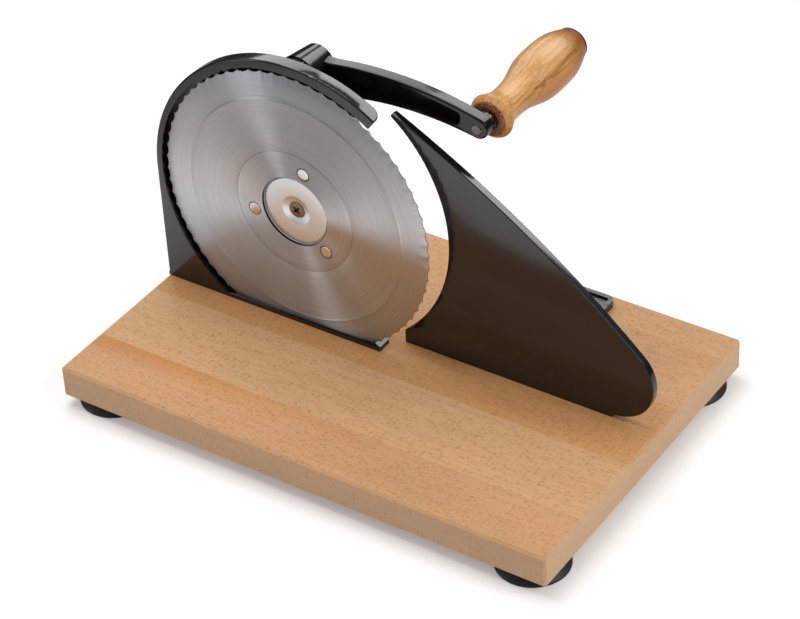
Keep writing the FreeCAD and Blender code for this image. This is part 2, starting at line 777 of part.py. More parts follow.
# ---- crank
def seat_shape(clearance, y0, y1):
    """Round seat with one flat, for the pinion."""
    seat = bar(blade_x, crank_z, pinion_seat_radius + clearance, y0, y1)
    flat = pinion_seat_flat + clearance
    return seat.cut(box(blade_x + flat, blade_x + 2 * pinion_seat_radius, y0 - 1, y1 + 1,
                        crank_z - 2 * pinion_seat_radius, crank_z + 2 * pinion_seat_radius))


def make_pinion():
    pinion = gear(blade_x, crank_z, pinion_teeth, gear_front, gear_back)
    seat = gear_front + 2.2
    pinion = pinion.cut(seat_shape(seat_gap, seat, gear_back + 1))
    head = cone(blade_x, crank_z, pinion_screw_head_radius + 0.1, pinion_screw_radius + 0.1,
                gear_front, seat)
    return pinion.cut(head)


def make_pinion_screw():
    seat = gear_front + 2.2
    end = seat + pinion_screw_length
    outline = [(gear_front + 0.15, 0.0), (gear_front + 0.15, pinion_screw_head_radius - 0.15),
               (seat, pinion_screw_radius), (end, pinion_screw_radius), (end, 0.0)]
    screw = turned(blade_x, crank_z, outline)
    return screw.cut(cross_recess(blade_x, crank_z, gear_front + 0.15, 1.7, 1.2))


def make_crank_shaft():
    seat = gear_front + 2.2
    shoulder = gear_back
    shaft = seat_shape(0.0, seat, shoulder)
    shaft = shaft.fuse(bar(blade_x, crank_z, shaft_radius, shoulder, hub_web_front))
    half = shaft_square / 2
    square = box(blade_x - half, blade_x + half, hub_web_front, hub_back - end_play,
                 crank_z - half, crank_z + half)
    square.rotate(V(blade_x, 0, crank_z), V(0, 1, 0), -crank_rest_angle)
    shaft = shaft.fuse(square)
    shaft = shaft.cut(bar(blade_x, crank_z, pinion_screw_radius + seat_gap, seat - 1,
                          seat + pinion_screw_length + 1))
    return shaft.cut(bar(blade_x, crank_z, crank_screw_radius + seat_gap,
                         hub_back - crank_screw_length + 1, hub_back + 1))


def make_crank_bush():
    outer = bar(blade_x, crank_z, shaft_radius + bush_wall, floor_front, tube_back)
    return outer.cut(bar(blade_x, crank_z, shaft_radius + running_gap,
                         floor_front - 1, tube_back + 1))


def make_thrust_washer():
    back = crank_boss_back + thrust_washer_thickness
    washer = bar(blade_x, crank_z, thrust_washer_radius, crank_boss_back, back)
    return washer.cut(bar(blade_x, crank_z, tube_radius + running_gap, crank_boss_back - 1,
                          back + 1))


def lower_meeting(a, distance_a, b, distance_b):
    """The lower of the two points at the given distances from a and b."""
    across, up = b[0] - a[0], b[1] - a[1]
    gap = math.hypot(across, up)
    along = (gap ** 2 + distance_a ** 2 - distance_b ** 2) / (2 * gap)
    aside = math.sqrt(distance_a ** 2 - along ** 2)
    foot = (a[0] + along * across / gap, a[1] + along * up / gap)
    found = [(foot[0] + side * aside * up / gap, foot[1] - side * aside * across / gap)
             for side in (-1, 1)]
    return min(found, key=lambda point: point[1])


def crown(centre, radius, x):
    """Point on the upper side of a circle."""
    return (x, centre[1] + math.sqrt(radius ** 2 - (x - centre[0]) ** 2))


def heading(a, b):
    return math.degrees(math.atan2(b[1] - a[1], b[0] - a[0]))


def make_crank_arm():
    """Swan-necked arm, drawn with its hub at 0, 0 and the grip's axis at crank_radius, 0."""
    y = arm_front
    end = (crank_radius, arm_end_lift)
    top = lower_meeting(arm_top_start, arm_top_radius, end, arm_top_radius - arm_end_radius)
    low = lower_meeting(arm_low_start, arm_low_radius, end, arm_low_radius + arm_end_radius)
    up = heading(top, end)
    down = heading(end, low)
    top_end = polar(end, arm_end_radius, up)
    low_end = polar(end, arm_end_radius, down)
    middle = crank_radius / 2
    low_root = (2.0, 0.3 - hub_back_radius)
    top_root = (0.0, arm_top_start[1])
    edges = [arc(y, arm_top_start, crown(top, arm_top_radius, middle), top_end),
             arc(y, top_end, polar(end, arm_end_radius, (up + down) / 2), low_end),
             arc(y, low_end, crown(low, arm_low_radius, middle), arm_low_start),
             line(y, arm_low_start, low_root), line(y, low_root, top_root),
             line(y, top_root, arm_top_start)]
    arm = slab(edges, y, arm_back)
    arm = rounded(arm, arm_neck_radius, lambda edge: lies_over(edge, arm_top_start)
                  or lies_over(edge, arm_low_start))
    arm = rounded(arm, arm_edge_radius, lambda edge: edge.CenterOfMass.x > 3.0
                  and (lies_at_y(edge, y) or lies_at_y(edge, arm_back)))
    arm = arm.fuse(cone(0, 0, hub_front_radius, hub_back_radius, hub_front, hub_back))

    inner_top = arm_top_radius - arm_rib
    inner_low = arm_low_radius + arm_rib
    first, last = arm_pocket
    corner = crown(low, inner_low, arm_low_start[0])
    start = (first, corner[1])
    path = [arc(y - 1, crown(top, inner_top, first), crown(top, inner_top, middle),
                crown(top, inner_top, last)),
            line(y - 1, crown(top, inner_top, last), crown(low, inner_low, last)),
            arc(y - 1, crown(low, inner_low, last), crown(low, inner_low, middle), corner),
            line(y - 1, corner, start), line(y - 1, start, crown(top, inner_top, first))]
    pocket = slab(path, y - 1, y + arm_pocket_depth)
    for x, radius in ((first, 2.0), (last, 3.3)):
        pocket = rounded(pocket, radius, lambda edge: abs(edge.CenterOfMass.x - x) < 1e-6
                         and not lies_at_y(edge, edge.Vertexes[0].Y))
    arm = arm.cut(pocket)
    arm = arm.cut(bar(0, 0, tube_radius + hub_gap, hub_front - 1, hub_web_front))
    half = shaft_square / 2 + seat_gap
    arm = arm.cut(box(-half, half, hub_web_front - 1, hub_back + 1, -half, half))
    arm = arm.cut(bar(crank_radius, 0, axle_seat_radius + seat_gap, arm_front - 1, arm_back + 1))
    return place_on_crank(arm)


def place_on_crank(shape):
    """Turn a piece drawn with the hub at 0, 0 to the rest angle and move it to the crank's axis."""
    shape.rotate(V(0, 0, 0), V(0, 1, 0), -crank_rest_angle)
    shape.translate(V(blade_x, 0, crank_z))
    return shape


def make_crank_washer():
    washer = bar(blade_x, crank_z, crank_washer_radius, hub_back,
                 hub_back + crank_washer_thickness)
    return washer.cut(bar(blade_x, crank_z, crank_screw_radius + 0.2, hub_back - 1,
                          hub_back + crank_washer_thickness + 1))


def make_crank_screw():
    seat = hub_back + crank_washer_thickness
    end = seat + crank_screw_head_height
    tip = hub_back - crank_screw_length + 2
    outline = [(tip, 0.0), (tip, crank_screw_radius - 0.6), (tip + 0.6, crank_screw_radius),
               (seat, crank_screw_radius), (seat, crank_screw_head_radius),
               (end - 0.5, crank_screw_head_radius), (end, crank_screw_head_radius - 0.5),
               (end, 0.0)]
    screw = turned(blade_x, crank_z, outline)
    return screw.cut(hexagon(blade_x, crank_z, 4.0, end - screw_socket_depth, end + 1))


# ---- handle
def make_handle_axle():
    nut_end = washer_front + axle_washer_thickness + axle_nut_height
    outline = [(arm_front - axle_rivet_height, 0.0),
               (arm_front - axle_rivet_height, axle_rivet_radius - 0.4),
               (arm_front, axle_rivet_radius), (arm_front, axle_seat_radius),
               (arm_back, axle_seat_radius), (arm_back, axle_collar_radius),
               (collar_back, axle_collar_radius), (collar_back, axle_radius),
               (nut_end - 0.5, axle_radius), (nut_end, axle_radius - 0.5), (nut_end, 0.0)]
    return turned(grip_x, grip_z, outline)


def make_axle_washer():
    back = washer_front + axle_washer_thickness
    washer = bar(grip_x, grip_z, axle_washer_radius, washer_front, back)
    return washer.cut(bar(grip_x, grip_z, axle_radius + seat_gap, washer_front - 1, back + 1))


def make_axle_nut():
    front = washer_front + axle_washer_thickness
    nut = hexagon(grip_x, grip_z, axle_nut_flats, front, front + axle_nut_height)
    return nut.cut(bar(grip_x, grip_z, axle_radius + running_gap, front - 1,
                       front + axle_nut_height + 1))


def make_grip():
    points = [V(grip_x + r, grip_front + y, grip_z) for y, r in grip_outline]
    points.append(V(grip_x + grip_end_radius, grip_back, grip_z))
    shoulder = V(grip_x + grip_shoulder[1], grip_front + grip_shoulder[0], grip_z)
    collar = Part.Arc(points[0], shoulder, points[1]).toShape()
    band = Part.makePolygon(points[1:4]).Edges
    sweep = Part.BSplineCurve()
    sweep.interpolate(points[3:])
    axis_front = V(grip_x, grip_front, grip_z)
    axis_back = V(grip_x, grip_back, grip_z)
    edges = [Part.LineSegment(axis_front, points[0]).toShape(), collar] + band
    edges += [sweep.toShape(), Part.LineSegment(points[-1], axis_back).toShape(),
              Part.LineSegment(axis_back, axis_front).toShape()]
    grip = Part.Face(Part.Wire(edges)).revolve(axis_front, V(0, 1, 0), 360)
    grip = grip.cut(bar(grip_x, grip_z, axle_radius + grip_play, grip_front - 1, grip_back + 1))
    return grip.cut(bar(grip_x, grip_z, grip_bore_radius, grip_back - grip_bore_depth,
                        grip_back + 1))


def make_grip_cap():
    plug = grip_bore_radius - plug_gap
    outline = [(grip_back - cap_plug_length, plug - cap_plug_wall),
               (grip_back - cap_plug_length, plug), (grip_back, plug),
               (grip_back, grip_cap_radius), (grip_back + 1.2, grip_cap_radius),
               (grip_back + 1.7, grip_cap_radius - 0.6),
               (grip_back + grip_cap_height, grip_cap_radius - 1.8),
               (grip_back + grip_cap_height, 0.0), (grip_back, 0.0),
               (grip_back, plug - cap_plug_wall)]
    return turned(grip_x, grip_z, outline)


# ---- stop plate
def arcs_meeting(a, radius_a, b, radius_b, radius):
    """Centre of the arc that goes round the circles a and b, a left of b, and touches both."""
    reach_a = radius - radius_a
    reach_b = radius - radius_b
    apart = math.hypot(b[0] - a[0], b[1] - a[1])
    along = (reach_a ** 2 - reach_b ** 2 + apart ** 2) / (2 * apart)
    off = math.sqrt(reach_a ** 2 - along ** 2)
    ux, uz = (b[0] - a[0]) / apart, (b[1] - a[1]) / apart
    return (a[0] + ux * along + uz * off, a[1] + uz * along - ux * off)


def stop_plate():
    y = stop_front
    centre = (blade_x + stop_edge_offset_x, blade_z + stop_edge_offset_z)
    radius = blade_radius + stop_edge_gap
    tip = polar(centre, radius + stop_tip_radius, stop_tip_angle)
    lobe = (board_length / 2 - stop_side_inset - stop_lobe_radius, stop_bottom + stop_lobe_radius)
    middle = arcs_meeting(tip, stop_tip_radius, lobe, stop_lobe_radius, stop_long_radius)
    first = heading(middle, tip)
    last = heading(middle, lobe)

    low = centre[1] - math.sqrt(radius ** 2 - (stop_left - centre[0]) ** 2)
    low_angle = heading(centre, (stop_left, low))
    inner_tip = polar(centre, radius, stop_tip_angle)
    outer_tip = polar(middle, stop_long_radius, first)
    lobe_top = polar(middle, stop_long_radius, last)
    bottom = (lobe[0], stop_bottom)
    edges = [line(y, (stop_left, stop_bottom), (stop_left, low)),
             arc(y, (stop_left, low), polar(centre, radius, (low_angle + stop_tip_angle) / 2),
                 inner_tip),
             arc(y, inner_tip, polar(tip, stop_tip_radius, (first + stop_tip_angle + 180) / 2),
                 outer_tip),
             arc(y, outer_tip, polar(middle, stop_long_radius, (first + last) / 2), lobe_top),
             arc(y, lobe_top, polar(lobe, stop_lobe_radius, (last - 90) / 2), bottom),
             line(y, bottom, (stop_left, stop_bottom))]
    plate = slab(edges, stop_front, stop_back)
    return rounded(plate, stop_edge_round,
                   lambda edge: lies_at_y(edge, stop_front) or lies_at_y(edge, stop_back))


def make_stop():
    stop = stop_plate()
    stop = stop.fuse(box(stop_left, board_length / 2 - stop_rail_end, stop_front + 0.3,
                         stop_back - 0.3, board_top, stop_bottom + 2))
    slide = box(slide_left, slide_right, stop_front + 1, slide_end, board_top, slide_top)
    raised = box(slide_left, slide_right, stop_front + 1, slide_end, slide_top,
                 slide_top + slide_rim)
    slide = slide.fuse(raised).removeSplitter()
    corners = [edge for edge in slide.Edges if edge.CenterOfMass.y > slide_end - 1
               and abs(edge.Vertexes[0].Z - edge.Vertexes[-1].Z) > 1]
    slide = slide.makeFillet(slide_corner, corners)
    inner = box(slide_left + slide_rim_width, slide_right - slide_rim_width, stop_back,
                slide_end - slide_rim_width, slide_top, slide_top + slide_rim + 1)
    ends = [edge for edge in inner.Edges if edge.CenterOfMass.y > slide_end - slide_rim_width - 1
            and abs(edge.Vertexes[0].Z - edge.Vertexes[-1].Z) > 1]
    slide = slide.cut(inner.makeFillet(slide_corner - slide_rim_width, ends))
    stop = stop.fuse(slide)
    gusset_sides = (slide_left, slide_right - stop_gusset_thickness)
    for x, height in zip(gusset_sides, stop_gusset_heights):
        side = [V(x, stop_back - 1, slide_top - 1), V(x, stop_back - 1, board_top + height),
                V(x, stop_back + 2, board_top + height),
                V(x, stop_back + stop_gusset_reach, slide_top + slide_rim),
                V(x, stop_back + stop_gusset_reach, slide_top - 1)]
        rib = Part.Face(Part.makePolygon(side + side[:1])).extrude(V(stop_gusset_thickness, 0, 0))
        stop = stop.fuse(rib)
    first = clamp_y - travel_out - slot_gap
    last = clamp_y + travel_in + slot_gap
    stop = stop.cut(long_hole(clamp_x, first, last, stud_radius + slot_gap,
                              board_top - 1, slide_top + 1))
    for side in (-1, 1):
        stop = stop.cut(long_hole(clamp_x + side * guide_spread, first, last,
                                  guide_shoulder_radius + running_gap,
                                  board_top - 1, slide_top + 1))
    return stop.removeSplitter()


def make_guide_screw(x):
    seat = slide_top + end_play
    end = board_top - guide_thread_length
    outline = [(end, 0.0), (end + 3, guide_thread_radius), (board_top, guide_thread_radius),
               (board_top, guide_shoulder_radius), (seat, guide_shoulder_radius),
               (seat, guide_head_radius), (seat + 1.4, guide_head_radius),
               (seat + guide_head_height, guide_head_radius - 1.8),
               (seat + guide_head_height, 0.0)]
    screw = turned_upright(x, clamp_y, outline)
    slit = box(x - guide_head_radius, x + guide_head_radius, clamp_y - 0.6, clamp_y + 0.6,
               seat + guide_head_height - 1.3, seat + guide_head_height + 1)
    return screw.cut(slit)


def make_insert():
    outer = post(clamp_x, clamp_y, insert_radius, board_top - insert_length, board_top - 0.2)
    return outer.cut(post(clamp_x, clamp_y, stud_radius + running_gap,
                          board_top - insert_length - 1, board_top + 1))


def make_clamp_washer():
    washer = post(clamp_x, clamp_y, clamp_washer_radius, clamp_seat - clamp_washer_thickness,
                  clamp_seat)
    return washer.cut(post(clamp_x, clamp_y, stud_radius + seat_gap, slide_top - 1,
                           clamp_seat + 1))


def make_clamp_stud():
    top = clamp_seat + knob_hub_height + knob_height - knob_cover
    stud = post(clamp_x, clamp_y, stud_radius, board_top - stud_bite, top)
    lower = [edge for edge in stud.Edges if edge.CenterOfMass.z < board_top - stud_bite + 0.1
             and edge.Curve.TypeId == "Part::GeomCircle"]
    return stud.makeChamfer(0.6, lower)


def make_clamp_knob():
    shoulder = clamp_seat + knob_hub_height
    top = shoulder + knob_height
    knob = post(clamp_x, clamp_y, knob_hub_radius, clamp_seat, shoulder)
    star = post(clamp_x, clamp_y, knob_radius - knob_lobe_radius / 2, shoulder, top)
    for k in range(knob_lobes):
        turn = 2 * math.pi * k / knob_lobes
        star = star.fuse(post(clamp_x + (knob_radius - knob_lobe_radius) * math.cos(turn),
                              clamp_y + (knob_radius - knob_lobe_radius) * math.sin(turn),
                              knob_lobe_radius, shoulder, top))
    star = star.removeSplitter()
    star = rounded(star, 1.2, lambda edge: edge.Vertexes[0].Z > top - 0.01
                   and edge.Vertexes[-1].Z > top - 0.01)
    knob = knob.fuse(star)
    return knob.cut(post(clamp_x, clamp_y, stud_radius + seat_gap, clamp_seat - 1,
                         top - knob_cover + seat_gap))


def save(name, shape):
    moved = shape.copy()
    moved.translate(V(0, -middle_y, 0))
    moved.exportStep("parts/" + name + ".step")
    print(name, len(moved.Solids), "solids", round(moved.Volume / 1000, 2), "cm3", moved.isValid())


def main():
    os.makedirs("parts", exist_ok=True)
    save("base_board", make_board())
    save("suction_feet", Part.makeCompound([make_foot(x, y) for x, y in foot_places()]))
    save("foot_screws", Part.makeCompound([make_foot_screw(x, y) for x, y in foot_places()]))
    save("body_casting", make_body())
    save("body_screws", make_body_screws())
    save("blade", make_blade())
    save("blade_wheel", make_wheel())
    save("blade_rivets", Part.makeCompound([make_rivet(x, z) for x, z in rivet_places()]))
    save("wheel_bush", make_wheel_bush())
    save("hub_cap", make_hub_cap())
    save("hub_screw", make_hub_screw())
    save("idler_gear", make_idler())
    save("idler_pin", make_idler_pin())
    save("idler_clip", make_idler_clip())
    save("crank_pinion", make_pinion())
    save("pinion_screw", make_pinion_screw())
    save("crank_shaft", make_crank_shaft())
    save("crank_bush", make_crank_bush())
    save("thrust_washer", make_thrust_washer())
    save("crank_arm", make_crank_arm())
    save("crank_washer", make_crank_washer())
    save("crank_screw", make_crank_screw())
    save("handle_axle", make_handle_axle())
    save("axle_washer", make_axle_washer())
    save("axle_nut", make_axle_nut())
    save("handle_grip", make_grip())
    save("grip_cap", make_grip_cap())
    save("stop_plate", make_stop())
    save("guide_screws", Part.makeCompound([make_guide_screw(clamp_x + side * guide_spread)
                                            for side in (-1, 1)]))
    save("stud_insert", make_insert())
    save("clamp_washer", make_clamp_washer())
    save("clamp_stud", make_clamp_stud())
    save("clamp_knob", make_clamp_knob())
    print("blade axis", blade_x, -middle_y, blade_z, "idler z", idler_z, "crank z", crank_z)
    print("grip axis", grip_x, grip_z, "clamp", clamp_x, clamp_y - middle_y)
    print("travel", -travel_in, travel_out, "module", gear_module, "middle", middle_y)


main()
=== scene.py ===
import json
import math

import bmesh
import bpy
from mathutils import Matrix, Vector


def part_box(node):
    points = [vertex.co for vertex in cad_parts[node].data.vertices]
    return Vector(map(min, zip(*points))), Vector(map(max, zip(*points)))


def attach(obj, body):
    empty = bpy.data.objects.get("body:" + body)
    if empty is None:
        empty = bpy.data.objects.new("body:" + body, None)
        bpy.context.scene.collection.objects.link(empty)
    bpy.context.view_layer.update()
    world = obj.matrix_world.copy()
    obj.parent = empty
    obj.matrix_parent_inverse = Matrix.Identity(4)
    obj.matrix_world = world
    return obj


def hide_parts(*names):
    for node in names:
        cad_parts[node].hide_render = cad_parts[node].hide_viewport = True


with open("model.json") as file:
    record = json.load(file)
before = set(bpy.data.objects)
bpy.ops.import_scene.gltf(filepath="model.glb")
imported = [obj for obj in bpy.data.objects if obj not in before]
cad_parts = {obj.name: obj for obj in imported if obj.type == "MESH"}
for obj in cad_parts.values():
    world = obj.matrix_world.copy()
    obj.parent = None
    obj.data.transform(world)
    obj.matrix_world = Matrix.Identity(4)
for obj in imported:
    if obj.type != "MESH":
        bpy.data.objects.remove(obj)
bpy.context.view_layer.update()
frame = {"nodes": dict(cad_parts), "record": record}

mm = 0.001
record = frame["record"]
bodyOfNode = {node: body for body, nodes in record["behaviour"]["bodies"].items() for node in nodes}
slotOfNode = {part["node"]: part["material_slot"] for part in record["subparts"]}

# the hinges of the blade and the grip run along y; each lies at this x and z, in millimetres
axes = {joint["child"]: (joint["pos_m"][0] / mm, joint["pos_m"][2] / mm)
        for joint in record["behaviour"]["joints"] if joint["type"] == "hinge"}
boardFront, boardBack = [corner[1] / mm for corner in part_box("base_board")]


# An sRGB colour written in hex, as the linear values that shaders take.
def hexColour(text):
    values = []
    for k in (0, 2, 4):
        c = int(text[k:k + 2], 16) / 255
        values.append(c / 12.92 if c <= 0.04045 else ((c + 0.055) / 1.055) ** 2.4)
    return (*values, 1.0)


def grey(value):
    return (value, value, value, 1.0)


# Adds a node and fills it: a socket is linked in, a node gives its first live output, and another
# value goes to the input or property of that name. A colour mix blends inputs 6 and 7.
def addNode(tree, kind, settings=None):
    node = tree.nodes.new(kind)
    for key, value in (settings or {}).items():
        if isinstance(value, bpy.types.Node):
            value = next(socket for socket in value.outputs if socket.enabled)
        if isinstance(value, bpy.types.NodeSocket):
            tree.links.new(value, node.inputs[key])
        elif isinstance(key, int) or key in node.inputs:
            node.inputs[key].default_value = value
        else:
            setattr(node, key, value)
    return node


def setStops(ramp, stops, blending="LINEAR"):
    colours = ramp.color_ramp
    colours.interpolation = blending
    while len(colours.elements) > 1:
        colours.elements.remove(colours.elements[-1])
    colours.elements[0].position = stops[0][0]
    colours.elements[0].color = stops[0][1]
    for place, colour in stops[1:]:
        colours.elements.new(place).color = colour
    return ramp


def newMaterial(name):
    material = bpy.data.materials.new(name)
    material.use_nodes = True
    material.node_tree.nodes.clear()
    return material, material.node_tree


def closeMaterial(material, settings):
    shader = addNode(material.node_tree, "ShaderNodeBsdfPrincipled", settings)
    addNode(material.node_tree, "ShaderNodeOutputMaterial", {"Surface": shader})
    return material


def newPiece(name, mesh, material):
    piece = bpy.data.objects.new(name, mesh)
    bpy.context.scene.collection.objects.link(piece)
    mesh.materials.clear()
    mesh.materials.append(material)
    return piece


# The piece stands for one CAD node: it takes that node's place and body.
def standFor(node, piece):
    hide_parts(node)
    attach(piece, bodyOfNode[node])


def smooth(mesh, degrees):
    mesh.polygons.foreach_set("use_smooth", [True] * len(mesh.polygons))
    mesh.set_sharp_from_angle(angle=math.radians(degrees))


# A CAD node's surface joined up and shaded smooth, with its crisp edges kept.
def smoothCopy(node, material):
    mesh = frame["nodes"][node].data.copy()
    shell = bmesh.new()
    shell.from_mesh(mesh)
    bmesh.ops.remove_doubles(shell, verts=shell.verts, dist=2e-6)
    shell.to_mesh(mesh)
    shell.free()
    if "custom_normal" in mesh.attributes:
        mesh.attributes.remove(mesh.attributes["custom_normal"])
    smooth(mesh, 32)
    standFor(node, newPiece(node + "Finished", mesh, material))


# Turns (along, radius) pairs in mm about a line parallel to y; both ends may lie on the line.
def turnedMesh(name, outline, centre, segments, closed=False):
    shell = bmesh.new()
    rings = []
    for along, radius in outline:
        if radius < 1e-6:
            rings.append([shell.verts.new((centre[0] * mm, along * mm, centre[1] * mm))])
            continue
        ring = []
        for k in range(segments):
            turn = 2 * math.pi * k / segments
            ring.append(shell.verts.new(((centre[0] + radius * math.cos(turn)) * mm, along * mm,
                                         (centre[1] + radius * math.sin(turn)) * mm)))
        rings.append(ring)
    pairs = list(zip(rings, rings[1:]))
    if closed:
        pairs.append((rings[-1], rings[0]))
    for a, b in pairs:
        for k in range(segments):
            n = (k + 1) % segments
            corners = [a[k % len(a)], a[n % len(a)], b[n % len(b)], b[k % len(b)]]
            corners = [v for i, v in enumerate(corners) if v not in corners[:i]]
            if len(corners) > 2:
                shell.faces.new(corners)
    bmesh.ops.recalc_face_normals(shell, faces=shell.faces)
    mesh = bpy.data.meshes.new(name)
    shell.to_mesh(mesh)
    shell.free()
    return mesh


# Rounds the corners of a (along, radius) outline with short arcs, so that edges catch the light.
def easedOutline(outline, ease, steps=3):
    rounded = [outline[0]]
    for before, here, after in zip(outline, outline[1:], outline[2:]):
        a, b, c = Vector(before), Vector(here), Vector(after)
        reach = min(ease, (a - b).length / 2.2, (c - b).length / 2.2)
        start = b + (a - b).normalized() * reach
        end = b + (c - b).normalized() * reach
        for k in range(steps + 1):
            t = k / steps
            point = start * (1 - t) ** 2 + b * 2 * t * (1 - t) + end * t ** 2
            rounded.append((point.x, point.y))
    rounded.append(outline[-1])
    return rounded


# Geometry node trees begin and end alike: named inputs, then real copies in one material.
def newTree(name, inputs):
    tree = bpy.data.node_groups.new(name, "GeometryNodeTree")
    tree.interface.new_socket("Geometry", in_out="INPUT", socket_type="NodeSocketGeometry")
    for label, kind, value in inputs + [("Finish", "NodeSocketMaterial", None)]:
        socket = tree.interface.new_socket(label, in_out="INPUT", socket_type=kind)
        if value is not None:
            socket.default_value = value
    tree.interface.new_socket("Geometry", in_out="OUTPUT", socket_type="NodeSocketGeometry")
    return tree, addNode(tree, "NodeGroupInput")


def closeTree(tree, entry, instances, join):
    last = addNode(tree, "GeometryNodeRealizeInstances", {0: instances})
    if join:
        last = addNode(tree, "GeometryNodeMergeByDistance", {0: last, "Distance": 2e-6})
    dressed = addNode(tree, "GeometryNodeSetMaterial", {0: last, "Material": entry.outputs["Finish"]})
    addNode(tree, "NodeGroupOutput", {0: dressed})
    return tree


# Copies of one piece, each turned a step further about a line along y.
def makeRingTree(name, join):
    tree, entry = newTree(name, [("Count", "NodeSocketInt", 3), ("Step", "NodeSocketFloat", 1.0),
                                 ("Pivot", "NodeSocketVector", None)])
    one = addNode(tree, "GeometryNodeGeometryToInstance", {0: entry.outputs["Geometry"]})
    many = addNode(tree, "GeometryNodeDuplicateElements",
                   {"domain": "INSTANCE", 0: one, "Amount": entry.outputs["Count"]})
    angle = addNode(tree, "ShaderNodeMath", {"operation": "MULTIPLY", 0: many.outputs["Duplicate Index"],
                                             1: entry.outputs["Step"]})
    turn = addNode(tree, "ShaderNodeCombineXYZ", {"Y": angle})
    turned = addNode(tree, "GeometryNodeRotateInstances",
                     {"Local Space": False, "Instances": many, "Rotation": turn,
                      "Pivot Point": entry.outputs["Pivot"]})
    return closeTree(tree, entry, turned, join)


# Copies of one piece on the corners of a rectangle.
def makeCornerTree():
    tree, entry = newTree("fourCorners", [("Width", "NodeSocketFloat", 0.3),
                                          ("Depth", "NodeSocketFloat", 0.2),
                                          ("Middle", "NodeSocketVector", None)])
    grid = addNode(tree, "GeometryNodeMeshGrid",
                   {"Vertices X": 2, "Vertices Y": 2, "Size X": entry.outputs["Width"],
                    "Size Y": entry.outputs["Depth"]})
    moved = addNode(tree, "GeometryNodeTransform", {0: grid, "Translation": entry.outputs["Middle"]})
    copies = addNode(tree, "GeometryNodeInstanceOnPoints",
                     {"Points": moved, "Instance": entry.outputs["Geometry"]})
    return closeTree(tree, entry, copies, False)


# Runs a tree on a mesh and hands back the finished plain piece.
def grown(name, mesh, tree, values, degrees):
    seed = bpy.data.objects.new(name + "Seed", mesh)
    bpy.context.scene.collection.objects.link(seed)
    modifier = seed.modifiers.new("grow", "NODES")
    modifier.node_group = tree
    for item in tree.interface.items_tree:
        if item.item_type == "SOCKET" and item.in_out == "INPUT" and item.name in values:
            modifier[item.identifier] = values[item.name]
    depsgraph = bpy.context.evaluated_depsgraph_get()
    result = bpy.data.meshes.new_from_object(seed.evaluated_get(depsgraph))
    seed.modifiers.remove(modifier)
    bpy.data.objects.remove(seed)
    result.name = name
    smooth(result, degrees)
    return newPiece(name, result, values["Finish"])


ringTree = makeRingTree("ringOfCopies", False)
sectorTree = makeRingTree("ringOfSectors", True)
cornerTree = makeCornerTree()

cameraPlan = {"place": (0.77726, -1.10503, 1.07624), "right": (0.83505, 0.54830, -0.04535),
              "up": (-0.30082, 0.52406, 0.79679), "lens": 127.7, "sensor": 36.0}


def makeCamera(plan):
    data = bpy.data.cameras.new("studioCamera")
    data.sensor_fit = "HORIZONTAL"
    data.sensor_width = plan["sensor"]
    data.lens = plan["lens"]
    data.clip_start = 0.05
    data.clip_end = 60
    camera = bpy.data.objects.new("studioCamera", data)
    right = Vector(plan["right"]).normalized()
    up = (Vector(plan["up"]) - right * right.dot(Vector(plan["up"]))).normalized()
    turn = Matrix((right, up, right.cross(up))).transposed().to_4x4()
    camera.matrix_world = Matrix.Translation(plan["place"]) @ turn
    bpy.context.scene.collection.objects.link(camera)
    bpy.context.scene.camera = camera


makeCamera(cameraPlan)
print("camera placed")

# The object stands on a white sheet in a darker room: the eye sees white all round it, its glossy
# surfaces see the sheet near by, two brighter patches on it, dark walls further off and the lamps.
# A lamp is its place, size and watts, and whether it lights the object or only shows in gloss.
studioPlan = {"worldLevel": 0.50, "floorColour": "F4F4F3", "floorLift": 0.20, "floorSize": 9.0,
              "roomTones": [(0.0, 0.05), (0.5, 0.05), (0.62, 0.12), (0.8, 0.32), (1.0, 0.42)],
              "roomFloor": 0.07, "sheetEdge": (0.30, 0.85),
              "brightPatches": [((-0.02, -0.40, 0.0), 0.08, 0.32, 0.9),
                                ((-0.30, -0.06, 0.0), 0.03, 0.11, 0.9)],
              "lampAim": (0.0, 0.0, 0.08),
              "lamps": [("topSoftbox", (-0.58, 0.1, 1.95), (1.2, 1.2), 18.6, True),
                        ("rightSoftbox", (1.6, 0.25, 1.2), (0.9, 0.9), 8.6, True),
                        ("lowFrontLamp", (-1.25, -1.0, 0.42), (0.5, 0.5), 2.6, False),
                        ("backReflector", (0.2, 1.25, 1.38), (1.5, 0.9), 23.0, False),
                        ("sideReflector", (-1.08, 1.12, 1.15), (1.0, 1.05), 10.5, False)]}


